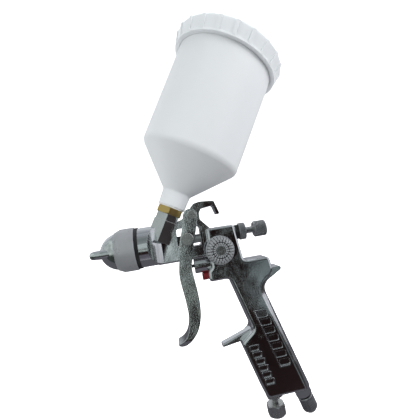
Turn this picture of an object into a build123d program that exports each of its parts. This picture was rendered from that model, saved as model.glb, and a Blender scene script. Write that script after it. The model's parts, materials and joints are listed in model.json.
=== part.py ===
"""Gravity-feed spray gun (HVLP type) with a 600 ml plastic cup, as an assembly of separate pieces.

Everything is drawn about the head point, where the cup axis crosses the spray axis: X runs along the
spray axis with the nozzle at -X, Y across the gun and Z up.  Saving moves the pieces so that the origin
is the centre of the air inlet's mouth.  Lengths are millimetres, angles degrees.
"""

from build123d import *
from math import cos, radians, sin, tan
import os

os.makedirs("parts", exist_ok=True)

# ---- clearances ---------------------------------------------------------------------------------
THREAD_GAP = 0.05        # radial, between a male thread's crest cylinder and its hole
RUN_GAP = 0.08           # radial, where a shaft slides or turns in a bore
FACE_GAP = 0.3           # between faces of pieces that move against each other
SEAT_GAP = 0.1           # between a moving cone or disc and its seat

# ---- whole gun ----------------------------------------------------------------------------------
SPRAY_HEIGHT = 171.0     # spray axis above the mouth of the air inlet
INLET_BACK = 85.0        # air inlet behind the head point
GRIP_TILT = 16.2         # grip's lean from the vertical
BODY_WIDTH = 24.0        # handle block and grip, across
WEB_WIDTH = 12.0         # flat web between barrel and handle block

# ---- head ---------------------------------------------------------------------------------------
BARREL_RADIUS = 18.0
BARREL_FRONT = -15.0
SCALLOP_BACK = 5.0       # where the barrel's hollowed flanks run out on the web
SCALLOP_FRONT = -7.0
SCALLOP_RADIUS = 26.0
NOSE_STEP = 1.1          # threaded nose that carries the retaining ring, below the barrel
NOSE_FRONT = -30.0
NOSE_WALL = 3.4
NOSE_POCKET_BACK = -24.0
FLUID_BORE = 3.6
SEAL_BAND_RISE = 0.6     # above the barrel
SEAL_BAND_WIDTH = 3.0

RING_RISE = 1.5          # above the barrel
RING_FRONT = -35.6
RING_LIP = 2.0
RING_LIP_DEPTH = 3.0     # from the ring's outside to the hole that the air cap's dome comes through
RING_CHAMFER = 2.3
RING_CHAMFER_LENGTH = 5.1
RING_WALL = 1.9          # around the air cap's flange
CAP_FLANGE = 2.6
CAP_FACE = -50.0
CAP_FACE_RADIUS = 4.2
CAP_WALL = 2.6
CAP_HOLE_RADIUS = 2.6
HORN_OFFSET = 11.0
HORN_RADIUS = 4.1
HORN_TIP = -56.8

NOZZLE_TIP = -51.6
NOZZLE_TIP_RADIUS = 1.9
NOZZLE_ROOT_RADIUS = 5.4
NOZZLE_HOLE_RADIUS = 0.7
NOZZLE_HEX = 14.0        # across flats
NOZZLE_HEX_FRONT = -34.0
NOZZLE_HEX_BACK = -27.5
NOZZLE_THREAD_RADIUS = 6.0
NOZZLE_THREAD_BACK = -14.0
BAFFLE_THICKNESS = 2.4
BAFFLE_HOLES = 10
BAFFLE_HOLE_RADIUS = 1.2

# ---- cup, along its own axis from the head point --------------------------------------------------
CUP_TILT = 60.6          # cup axis above the spray axis
STUB_FLATS = 21.4        # hexagonal stub on the casting
STUB_TOP = 23.8
COLLAR_FLATS = 19.8
COLLAR_TOP = 30.0
CUP_THREAD_RADIUS = 6.9
CUP_THREAD_DEPTH = 15.0
CUP_BORE = 4.6
CONNECTOR_FLATS = 22.0
CONNECTOR_HEX = 6.3
CUP_GASKET = 1.1
CUP_NECK_RADIUS = 12.7
CUP_NECK_LENGTH = 14.0
CUP_SPIGOT_RADIUS = 8.0
CUP_RADIUS = 46.5
CUP_CONE_TOP = 86.8
CUP_ROUND = 9.0
CUP_RIM = 197.0
CUP_WALL = 1.8
LID_SKIRT = 182.3        # lower edge of the lid's skirt
LID_SKIRT_STEP = 3.7     # skirt outside the cup
LID_FLARE = 3.0          # lid's top edge outside its skirt
LID_TOP = 200.0
LID_ROUND = 4.0
LID_RIBS = 22
LID_RIB_WIDTH = 3.2
LID_RIB_HEIGHT = 0.9
LID_FLANGE = 2.0
LID_BEAD = 0.9           # single thread bead that the lid turns on
LID_BEAD_HEIGHT = 189.0
VENT_RADIUS = 5.0
VENT_HEAD = 1.6          # height, and how far it stands out
VENT_HOLE = 0.8

# ---- web, window and hook --------------------------------------------------------------------------
WINDOW_FRONT = 19.2
WINDOW_BACK = 40.6
WINDOW_TOP = 11.4
WINDOW_BOTTOM = -6.2
WINDOW_RIM = 2.0
WINDOW_RIM_HEIGHT = 1.2
RIB_THICKNESS = 2.4      # rib along the underside of the web
RIB_WIDTH = 15.0
HOOK_TOP = 33.0
HOOK_ARM = 5.6
HOOK_TIP_X = 60.6
HOOK_TIP_Z = 19.4

# ---- handle block and grip -------------------------------------------------------------------------
BLOCK_FRONT = 46.0
BLOCK_TOP = 7.6
BLOCK_BACK = 71.6
SHOULDER_DROP = 26.3
SHOULDER_BACK = 99.4
TANG_BACK = 109.0
TANG_DROP = 37.0
TANG_THICKNESS = 2.8
RAIL_DROP = 40.0
RAIL_FRONT = 42.2
GRIP_TOP_FRONT = 49.3    # where the grip's leaning lines would cross the spray axis
GRIP_LOW_FRONT = 33.0
GRIP_REAR = 75.1
REST_DROP = 88.6         # finger rest's root
REST_TIP = 44.6
REST_SLOPE = 0.31
REST_THICKNESS = 3.2
REST_WIDTH = 9.0
SIDE_ROUND = 2.4
REAR_ROUND = 7.0
REST_ROUND = 1.4
POCKET_DEPTH = 0.9
REAR_POCKETS = 7
FRONT_POCKETS = 6
POCKET_RIM = 0.5
REAR_POCKET_TOP = -76.0
REAR_POCKET_PITCH = 7.5
REAR_POCKET_LINE = 62.0  # middle of the rear row, where it would cross the spray axis
REAR_POCKET_LONG = 9.4
REAR_POCKET_TALL = 5.4
FRONT_POCKET_TOP = -104.2
FRONT_POCKET_PITCH = 6.2
FRONT_POCKET_LINE = 41.6
FRONT_POCKET_LONG = 8.6
FENCE_WIDTH = 0.8

# ---- trigger ---------------------------------------------------------------------------------------
PIVOT_X = 35.2
PIVOT_Z = 22.0
PIVOT_RADIUS = 2.5
PIVOT_HEAD_RADIUS = 4.0
HEAD_THICKNESS = 1.8
TRIGGER_PLATE = 2.0
TRIGGER_GAP = 1.0        # between the trigger's plates and the widest thing they pass
TRIGGER_WALL = 2.2
TRIGGER_TOE = 7.0
TRIGGER_ROUND = 3.0      # long front edges
CATCH_X = 28.1
CATCH_Z = 1.0
CATCH_RADIUS = 2.4
CATCH_HEAD_RADIUS = 5.9
CATCH_INNER = 2.4        # half the space left between the two catch screws for the needle

# ---- needle and fluid control ----------------------------------------------------------------------
NEEDLE_RADIUS = 1.5
NEEDLE_TAIL = 88.0
NEEDLE_TRAVEL = 3.8
SLEEVE_RADIUS = 4.0      # sleeve on the needle that the catch screws push
SLEEVE_LENGTH = 14.6
PACKING_FRONT = 7.0
PACKING_LENGTH = 3.0
GLAND_RADIUS = 4.6
GLAND_HEX = 9.0
GLAND_HEX_LENGTH = 4.0
GUIDE_RADIUS = 5.6
GUIDE_HEAD_RADIUS = 6.6
GUIDE_FRONT = 60.0
GUIDE_BACK = 77.0
LOCKNUT_RADIUS = 8.0
LOCKNUT_LENGTH = 6.3
KNOB_STEM_RADIUS = 3.1
KNOB_STEM_FRONT = 67.0
KNOB_RADIUS = 7.5
KNOB_FRONT = 91.5
KNOB_BACK = 103.4
SPRING_WIRE = 0.8

# ---- air valve -------------------------------------------------------------------------------------
VALVE_DROP = 24.5        # valve axis below the spray axis
VALVE_BOSS_RADIUS = 7.3
VALVE_BOSS_FRONT = 31.0
VALVE_CHAMBER_RADIUS = 5.2
VALVE_CHAMBER_BACK = 67.0
VALVE_STEM_RADIUS = 1.5
VALVE_TAIL_RADIUS = 1.6   # stem inside the disc
VALVE_STEM_FRONT = 19.6
VALVE_SEAT_FRONT = 44.0
VALVE_SEAT_LENGTH = 3.0
VALVE_SEAT_HOLE = 2.7
VALVE_DISC_RADIUS = 4.1
VALVE_DISC = 2.6
VALVE_GLAND_LENGTH = 8.0
PLUG_RADIUS = 3.6
PLUG_DROP = 35.4

# ---- pattern dial ----------------------------------------------------------------------------------
DIAL_X = 55.2
DIAL_DROP = 13.0
DIAL_FACE_RADIUS = 11.6
DIAL_SKIRT_RADIUS = 12.9
DIAL_SKIRT = 4.4
DIAL_HEIGHT = 9.6
DIAL_FLUTES = 30
DIAL_SPINDLE_RADIUS = 3.0
DIAL_SPINDLE_DEPTH = 3.0 # spindle's inner end, from the gun's middle plane
DIAL_GLAND_RADIUS = 6.0
DIAL_GLAND_LENGTH = 7.0
DIAL_SCREW_RADIUS = 3.6

# ---- air inlet -------------------------------------------------------------------------------------
INLET_NUT_FLATS = 15.0
INLET_NUT_LENGTH = 10.0
INLET_THREAD_RADIUS = 5.72
INLET_THREAD_LENGTH = 5.0
INLET_ROOM_STEP = 0.6     # chamber behind the thread, outside it
INLET_WASHER = 1.0
INLET_FLANGE = 1.4
INLET_PIPE_RADIUS = 2.6
INLET_HOLE = 1.6
INLET_NECK = 6.6
INLET_COLLAR = 4.4
INLET_COLLAR_RADIUS = 7.0
INLET_TAIL_RADIUS = 5.6
INLET_TAIL_LENGTH = 12.0
AIR_RADIUS = 3.0
AIR_BEND_X = 84.0
AIR_BEND_DROP = 88.0

# ---- air regulator at the heel of the grip -----------------------------------------------------------
REGULATOR_AXIS = 67.3    # where its leaning axis would cross the spray axis
REGULATOR_BOSS_RADIUS = 7.5
REGULATOR_BOSS = 8.6     # below the grip's lower face, along the axis
REGULATOR_DEPTH = 26.0
REGULATOR_GLAND_RADIUS = 5.2
REGULATOR_GLAND = 8.0
REGULATOR_SPINDLE_RADIUS = 2.6
REGULATOR_KNOB_RADIUS = 7.1
REGULATOR_KNOB = 15.0
REGULATOR_GROOVE = 1.6

# ---- values that follow ------------------------------------------------------------------------------
half_body = BODY_WIDTH / 2
block_lean = 4.2         # the block's rear face leans back this much down to the shoulder
guide_corner = GUIDE_HEAD_RADIUS / cos(radians(30))
guide_seat = BLOCK_BACK + block_lean * (BLOCK_TOP + guide_corner) / (BLOCK_TOP + SHOULDER_DROP)
half_web = WEB_WIDTH / 2
rib_top = RIB_THICKNESS - BARREL_RADIUS
nose_radius = BARREL_RADIUS - NOSE_STEP
pocket_radius = nose_radius - NOSE_WALL
ring_radius = BARREL_RADIUS + RING_RISE
lip_radius = ring_radius - RING_LIP_DEPTH
flange_radius = ring_radius - RING_WALL
skirt_radius = CUP_RADIUS + LID_SKIRT_STEP
lid_radius = skirt_radius + LID_FLARE
slope = tan(radians(GRIP_TILT))
inlet_length = INLET_NUT_LENGTH + INLET_NECK + INLET_COLLAR
grip_bottom = -(SPRAY_HEIGHT - inlet_length)
trigger_inner = max(VALVE_BOSS_RADIUS, RIB_WIDTH / 2) + TRIGGER_GAP
trigger_outer = trigger_inner + TRIGGER_PLATE
ring_back = BARREL_FRONT - SEAL_BAND_WIDTH
connector_top = COLLAR_TOP + CONNECTOR_HEX
neck_bottom = connector_top + CUP_GASKET
neck_top = neck_bottom + CUP_NECK_LENGTH

spray_axis = Plane(origin=(0, 0, 0), x_dir=(0, 1, 0), z_dir=(1, 0, 0))
valve_axis = Plane(origin=(0, 0, -VALVE_DROP), x_dir=(0, 1, 0), z_dir=(1, 0, 0))
cup_axis = Plane(origin=(0, 0, 0), x_dir=(0, 1, 0), z_dir=(cos(radians(CUP_TILT)), 0, sin(radians(CUP_TILT))))
dial_axis = Plane(origin=(DIAL_X, 0, -DIAL_DROP), x_dir=(1, 0, 0), z_dir=(0, -1, 0))
pivot_axis = Plane(origin=(PIVOT_X, 0, PIVOT_Z), x_dir=(1, 0, 0), z_dir=(0, -1, 0))
catch_axis = Plane(origin=(CATCH_X, 0, CATCH_Z), x_dir=(1, 0, 0), z_dir=(0, -1, 0))
inlet_axis = Plane(origin=(INLET_BACK, 0, -SPRAY_HEIGHT), x_dir=(0, 1, 0), z_dir=(0, 0, 1))
side = Plane.XZ          # sketches here hold (x, z)


def grip_line(cross, z):
    """X of a leaning line that crosses the spray axis at `cross`, at height z."""
    return cross - z * slope


heel = (grip_line(REGULATOR_AXIS, grip_bottom), 0, grip_bottom)
down_grip = (sin(radians(GRIP_TILT)), 0, -cos(radians(GRIP_TILT)))
regulator_axis = Plane(origin=heel, x_dir=(0, 1, 0), z_dir=down_grip)

pieces = {}


def keep(name, *solids):
    """Name a piece; several solids make one node of identical fasteners or a split part."""
    found = [s for shape in solids for s in shape.solids()]
    pieces[name] = found[0] if len(found) == 1 else Compound(found)


def rod(axis, start, end, radius):
    """Cylinder on an axis, between two distances along it."""
    bar = extrude(Circle(radius), abs(end - start))
    return Location(axis) * Pos(0, 0, min(start, end)) * bar


def tube(axis, start, end, radius, hole):
    """Plain sleeve on an axis."""
    return rod(axis, start, end, radius) - rod(axis, start - 1, end + 1, hole)


def hexagon(axis, start, end, flats, turn=0):
    """Hexagonal bar on an axis, measured across its flats."""
    bar = extrude(RegularPolygon(flats / 2, 6, major_radius=False, rotation=turn), end - start)
    return Location(axis) * Pos(0, 0, start) * bar


def chamfered_hexagon(axis, start, end, flats):
    """Hexagonal bar with its corners turned down at both ends."""
    corner = flats / 3**0.5 + 0.1
    limit = turned(axis, (start, 0), (start, flats / 2), (start + 1, corner), (end - 1, corner),
                   (end, flats / 2), (end, 0))
    return hexagon(axis, start, end, flats) & limit


def turned(axis, *outline, rounds=None):
    """Solid of revolution from (distance along the axis, radius) points, with corner rounds if given."""
    points = [(radius, along) for along, radius in outline]
    if rounds:
        edge = FilletPolyline(*points, radius=rounds, close=True)
    else:
        edge = Polyline(*points, close=True)
    return Location(axis) * revolve(Plane.XZ * make_face(edge), Axis.Z)


def slab(points, half_width, radius=0.0):
    """Plate with the given (x, z) outline, across the gun's middle plane."""
    if radius:
        outline = FilletPolyline(*points, radius=radius, close=True)
    else:
        outline = Polyline(*points, close=True)
    return extrude(side * make_face(outline), half_width, both=True)


def block(x0, x1, y0, y1, z0, z1):
    """Box between two corners."""
    return Pos((x0 + x1) / 2, (y0 + y1) / 2, (z0 + z1) / 2) * Box(abs(x1 - x0), abs(y1 - y0), abs(z1 - z0))


def spring(axis, start, end, mean_radius, turns):
    """Coil spring of round wire."""
    height = end - start - SPRING_WIRE
    path = Helix(pitch=height / turns, height=height, radius=mean_radius)
    coil = sweep(Plane(origin=path @ 0, z_dir=path % 0) * Circle(SPRING_WIRE / 2), path=path)
    return Location(axis) * Pos(0, 0, start + SPRING_WIRE / 2) * coil


def both_sides(shape):
    """The shape and its mirror image across the gun's middle plane."""
    return shape + mirror(shape, Plane.XZ)


# ==== body casting ====================================================================================
def head_casting():
    """Barrel, threaded nose, hollowed flanks and the hexagonal cup stub."""
    barrel = rod(spray_axis, BARREL_FRONT, SCALLOP_BACK, BARREL_RADIUS)
    run = SCALLOP_BACK - SCALLOP_FRONT
    rise = BARREL_RADIUS - half_web
    bow = SCALLOP_RADIUS - (SCALLOP_RADIUS**2 - (run**2 + rise**2) / 4) ** 0.5
    middle = ((SCALLOP_FRONT + SCALLOP_BACK) / 2 - bow * rise / (run**2 + rise**2) ** 0.5,
              (BARREL_RADIUS + half_web) / 2 - bow * run / (run**2 + rise**2) ** 0.5)
    flank = ThreePointArc((SCALLOP_FRONT, BARREL_RADIUS), middle, (SCALLOP_BACK, half_web))
    corner = Polyline((SCALLOP_BACK, half_web), (SCALLOP_BACK + 1, half_web),
                      (SCALLOP_BACK + 1, BARREL_RADIUS + 1), (SCALLOP_FRONT, BARREL_RADIUS + 1),
                      (SCALLOP_FRONT, BARREL_RADIUS))
    hollow = Pos(0, 0, -BARREL_RADIUS - 1) * extrude(make_face(flank + corner), 2 * BARREL_RADIUS + 2)
    nose = rod(spray_axis, NOSE_FRONT, BARREL_FRONT, nose_radius)
    stub = hexagon(cup_axis, 4, STUB_TOP, STUB_FLATS) + hexagon(cup_axis, STUB_TOP, COLLAR_TOP, COLLAR_FLATS)
    return barrel - both_sides(hollow) + nose + stub


def web_casting():
    """Flat web with the hook on top, the window's raised rim and the rib along its lower edge."""
    hook_inner = HOOK_TOP - HOOK_ARM
    beside = CONNECTOR_FLATS / 3**0.5 + FACE_GAP
    along = COLLAR_TOP - 0.5
    lean = radians(CUP_TILT)
    corner = (along * cos(lean) + beside * sin(lean), along * sin(lean) - beside * cos(lean))
    outline = [(2, -BARREL_RADIUS + 1), (2, 10), (16.6, 17.0), corner, (38.4, 32.2),
               (44, HOOK_TOP + 0.4), (57.6, HOOK_TOP - 0.6), (HOOK_TIP_X + 1, HOOK_TIP_Z),
               (HOOK_TIP_X - 2.3, HOOK_TIP_Z + 0.2), (55.6, hook_inner + 0.9), (45.0, hook_inner - 0.4),
               (42.6, hook_inner - 4.4), (42.4, 17.0), (50.4, BLOCK_TOP), (BLOCK_FRONT + 8, BLOCK_TOP),
               (BLOCK_FRONT + 8, -BARREL_RADIUS + 1)]
    web = slab(outline, half_web, [0, 0, 3, 6, 3, 4, 2, 0.9, 0.9, 1.6, 1.6, 1.2, 3, 3, 0, 0])
    rim = block(WINDOW_BACK - 8, WINDOW_BACK + WINDOW_RIM, -half_web - WINDOW_RIM_HEIGHT,
                half_web + WINDOW_RIM_HEIGHT, WINDOW_BOTTOM - WINDOW_RIM, WINDOW_TOP - 1.4)
    rim = chamfer(rim.edges().filter_by(Axis.Y).group_by(Axis.X)[-1].group_by(Axis.Z)[0], 3)
    rib = block(0, BLOCK_FRONT + 2, -RIB_WIDTH / 2, RIB_WIDTH / 2, -BARREL_RADIUS, rib_top)
    rib = fillet(rib.edges().filter_by(Axis.X).group_by(Axis.Z)[0], 1.8)
    boss = rod(pivot_axis, -trigger_inner + FACE_GAP, trigger_inner - FACE_GAP, PIVOT_HEAD_RADIUS + 1)
    valve_boss = rod(valve_axis, VALVE_BOSS_FRONT, BLOCK_FRONT + 4, VALVE_BOSS_RADIUS)
    return web + rim + rib + boss + valve_boss


def rear_round():
    """What is cut off each rear corner of the grip to round its back, up to the tang's underside."""
    tang_low = -TANG_DROP - TANG_THICKNESS
    low = (grip_line(GRIP_REAR, grip_bottom - 6), grip_bottom - 6)
    bend = (grip_line(GRIP_REAR, tang_low - 13), tang_low - 13)
    path = FilletPolyline(low, bend, (TANG_BACK + 1, tang_low - 1.5), radius=9)
    path = side * path
    along = path % 0
    frame = Plane(origin=path @ 0, x_dir=(0, 1, 0), z_dir=along)
    inner = half_body - REAR_ROUND
    reach = REAR_ROUND
    arc = CenterArc((inner, 0), reach, 0, 90)
    flip = 1 if frame.y_dir.X < 0 else -1
    outside = half_body + 1
    points = [(inner, reach), (inner, reach + 3), (outside, reach + 3), (outside, 0), (half_body, 0)]
    face = make_face(arc + Polyline(*points))
    face = Pos(0, -reach) * face
    if flip > 0:
        face = mirror(face, Plane.XZ)
    return sweep(frame * face, path=path)


def handle_casting():
    """Block behind the web, shoulder, tang, grip and finger rest, with rounded long edges."""
    tang_low = -TANG_DROP - TANG_THICKNESS
    outline = [
        (BLOCK_FRONT, BLOCK_TOP), (BLOCK_BACK, BLOCK_TOP), (BLOCK_BACK + block_lean, -SHOULDER_DROP),
        (SHOULDER_BACK, -SHOULDER_DROP), (SHOULDER_BACK + 1.6, -TANG_DROP - 2),
        (grip_line(GRIP_REAR, tang_low - 13), tang_low - 13),
        (grip_line(GRIP_REAR, grip_bottom), grip_bottom),
        (grip_line(GRIP_LOW_FRONT, grip_bottom), grip_bottom),
        (grip_line(GRIP_LOW_FRONT, -REST_DROP - 10), -REST_DROP - 10),
        (grip_line(GRIP_TOP_FRONT, -REST_DROP) - 0.5, -REST_DROP),
        (grip_line(GRIP_TOP_FRONT, -RAIL_DROP), -RAIL_DROP), (RAIL_FRONT, -RAIL_DROP),
        (RAIL_FRONT, -RAIL_DROP + 9), (BLOCK_FRONT, -VALVE_DROP - 3),
    ]
    handle = slab(outline, half_body, [2.6, 3.0, 4.0, 4.0, 6.0, 6.0, 4.0, 4.0, 4.0, 5.0, 6.0, 2.6, 2.6, 2.6])
    handle = fillet(edges_of(handle, half_body) + edges_of(handle, -half_body), SIDE_ROUND)
    tang = slab([(SHOULDER_BACK - 12, -TANG_DROP), (TANG_BACK, -TANG_DROP), (TANG_BACK, tang_low),
                 (SHOULDER_BACK - 12, tang_low - 12)], half_body - SIDE_ROUND, [1, 1.3, 1.3, 1])
    drop = REST_SLOPE * (grip_line(GRIP_TOP_FRONT, -REST_DROP) - REST_TIP)
    root = grip_line(GRIP_TOP_FRONT, -REST_DROP) + 3
    rest = slab([(root, -REST_DROP + 2), (root - 5, -REST_DROP - 0.6), (REST_TIP, -REST_DROP - drop),
                 (REST_TIP, -REST_DROP - drop - REST_THICKNESS), (root, -REST_DROP - REST_THICKNESS - 5)],
                REST_WIDTH / 2, [1, 3, 1.5, 1.5, 1])
    rest = fillet(edges_of(rest, REST_WIDTH / 2) + edges_of(rest, -REST_WIDTH / 2), REST_ROUND)
    return handle + tang + rest


def edges_of(shape, y):
    """Edges of a plate's face at the given y."""
    return [e for e in shape.edges() if abs(e.center().Y - y) < 0.01 and abs(e.bounding_box().size.Y) < 0.01]


def pockets():
    """Finger-grip pockets sunk in both sides of the grip, and the raised lines around them."""
    face = half_body - POCKET_DEPTH
    top = half_body + POCKET_RIM
    sunk = []
    raised = []
    for i in range(REAR_POCKETS):
        z = REAR_POCKET_TOP - i * REAR_POCKET_PITCH
        x = grip_line(REAR_POCKET_LINE, z)
        shape = RectangleRounded(REAR_POCKET_LONG, REAR_POCKET_TALL, 1.0)
        sunk.append(Plane(origin=(x, -face, z), x_dir=(1, 0, 0), z_dir=(0, -1, 0)) * extrude(shape, 3))
    fence_top = REAR_POCKET_TOP + REAR_POCKET_PITCH / 2
    fence_low = REAR_POCKET_TOP - (REAR_POCKETS - 0.5) * REAR_POCKET_PITCH
    left = REAR_POCKET_LINE - REAR_POCKET_LONG / 2 - 1.6
    line = [(grip_line(left, fence_top), fence_top), (grip_line(left, fence_low), fence_low)]
    for z in (fence_top, fence_low):
        x = grip_line(left, z)
        half_fence = FENCE_WIDTH / 2
        raised.append(block(x, x + REAR_POCKET_LONG, -top, -half_body + 1, z - half_fence, z + half_fence))
    strip = [line[0], line[1], (line[1][0] + FENCE_WIDTH, line[1][1]), (line[0][0] + FENCE_WIDTH, line[0][1])]
    raised.append(Pos(0, -half_body + 1 - (POCKET_RIM + 1) / 2, 0) * slab(strip, (POCKET_RIM + 1) / 2))
    for i in range(FRONT_POCKETS):
        z = FRONT_POCKET_TOP - i * FRONT_POCKET_PITCH
        x = grip_line(FRONT_POCKET_LINE, z)
        here = Plane(origin=(x, -half_body + 1, z), x_dir=(1, 0, 0), z_dir=(0, -1, 0))
        frame = RectangleRounded(FRONT_POCKET_LONG, FRONT_POCKET_PITCH - 0.4, 1.2)
        raised.append(here * extrude(frame, POCKET_RIM + 1))
        tall = FRONT_POCKET_PITCH - 0.4 - 2 * FENCE_WIDTH
        hole = RectangleRounded(FRONT_POCKET_LONG - 2 * FENCE_WIDTH, tall, 0.8)
        sunk.append(Plane(origin=(x, -face, z), x_dir=(1, 0, 0), z_dir=(0, -1, 0)) * extrude(hole, 3))
    return sunk, raised


def air_ways():
    """Drilled passages: inlet socket, two legs up the grip, valve chamber and regulator socket."""
    bend = (AIR_BEND_X, 0, -AIR_BEND_DROP)
    low = (INLET_BACK, 0, grip_bottom)
    chamber = (VALVE_CHAMBER_BACK - AIR_RADIUS - 1, 0, -VALVE_DROP)
    socket_top = inlet_length + INLET_TAIL_LENGTH + 1
    ways = [rod(inlet_axis, inlet_length - 1, socket_top, INLET_TAIL_RADIUS + THREAD_GAP)]
    for start, end in ((low, bend), (bend, chamber)):
        run = Vector(*end) - Vector(*start)
        ways.append(rod(Plane(origin=start, z_dir=run), 0, run.length, AIR_RADIUS))
    ways.append(Pos(*bend) * Sphere(AIR_RADIUS))
    ways.append(rod(regulator_axis, -REGULATOR_DEPTH, REGULATOR_BOSS + 1, REGULATOR_GLAND_RADIUS + THREAD_GAP))
    cross_z = grip_bottom + REGULATOR_DEPTH * 0.7
    cross = Plane(origin=(INLET_BACK, 0, cross_z), z_dir=(1, 0, 0))
    ways.append(rod(cross, 0, grip_line(REGULATOR_AXIS, cross_z) - INLET_BACK, AIR_RADIUS - 0.5))
    ways.append(rod(valve_axis, VALVE_BOSS_FRONT - 1, VALVE_CHAMBER_BACK, VALVE_CHAMBER_RADIUS))
    up = Plane(origin=(VALVE_BOSS_FRONT + VALVE_GLAND_LENGTH + 3, 0, -VALVE_DROP), z_dir=(0, 0, 1))
    ways.append(rod(up, 0, VALVE_DROP + rib_top + 2, 2.2))
    return ways


def gun_body():
    """The casting: all outer shapes joined, then every bore, seat and window cut."""
    rear = rear_round()
    handle = handle_casting() - rear - mirror(rear, Plane.XZ)
    sunk, raised = pockets()
    for shape in raised:
        handle = handle + both_sides(shape)
    for shape in sunk:
        handle = handle - shape - mirror(shape, Plane.XZ)
    heel_boss = rod(regulator_axis, -12, REGULATOR_BOSS, REGULATOR_BOSS_RADIUS)
    guide_boss = rod(spray_axis, BLOCK_BACK - 6, guide_seat, GUIDE_HEAD_RADIUS)
    body = head_casting() + web_casting() + handle + heel_boss + guide_boss
    window = block(WINDOW_FRONT, WINDOW_BACK, -20, 20, WINDOW_BOTTOM, WINDOW_TOP)
    window = fillet(window.edges().filter_by(Axis.Y), 2.4)
    body = body - window
    body = body - rod(spray_axis, NOSE_FRONT - 1, NOSE_POCKET_BACK, pocket_radius)
    body = body - rod(spray_axis, NOSE_POCKET_BACK - 1, NOZZLE_THREAD_BACK, NOZZLE_THREAD_RADIUS + THREAD_GAP)
    body = body - rod(spray_axis, NOZZLE_THREAD_BACK - 1, PACKING_FRONT, FLUID_BORE)
    body = body - rod(spray_axis, PACKING_FRONT, WINDOW_FRONT + 1, GLAND_RADIUS + THREAD_GAP)
    body = body - rod(cup_axis, 0, COLLAR_TOP, CUP_BORE)
    body = body - rod(cup_axis, COLLAR_TOP - CUP_THREAD_DEPTH, COLLAR_TOP + 1, CUP_THREAD_RADIUS + THREAD_GAP)
    body = body - rod(spray_axis, WINDOW_BACK - 1, GUIDE_FRONT, SLEEVE_RADIUS + RUN_GAP)
    body = body - rod(spray_axis, GUIDE_FRONT, BLOCK_BACK + 6, GUIDE_RADIUS + THREAD_GAP)
    body = body - rod(pivot_axis, -20, 20, PIVOT_RADIUS + RUN_GAP)
    body = body - rod(dial_axis, DIAL_SPINDLE_DEPTH, half_body + 1, DIAL_SPINDLE_RADIUS + RUN_GAP)
    body = body - rod(dial_axis, half_body - DIAL_GLAND_LENGTH, half_body + 1, DIAL_GLAND_RADIUS + THREAD_GAP)
    for way in air_ways():
        body = body - way
    return body


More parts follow.
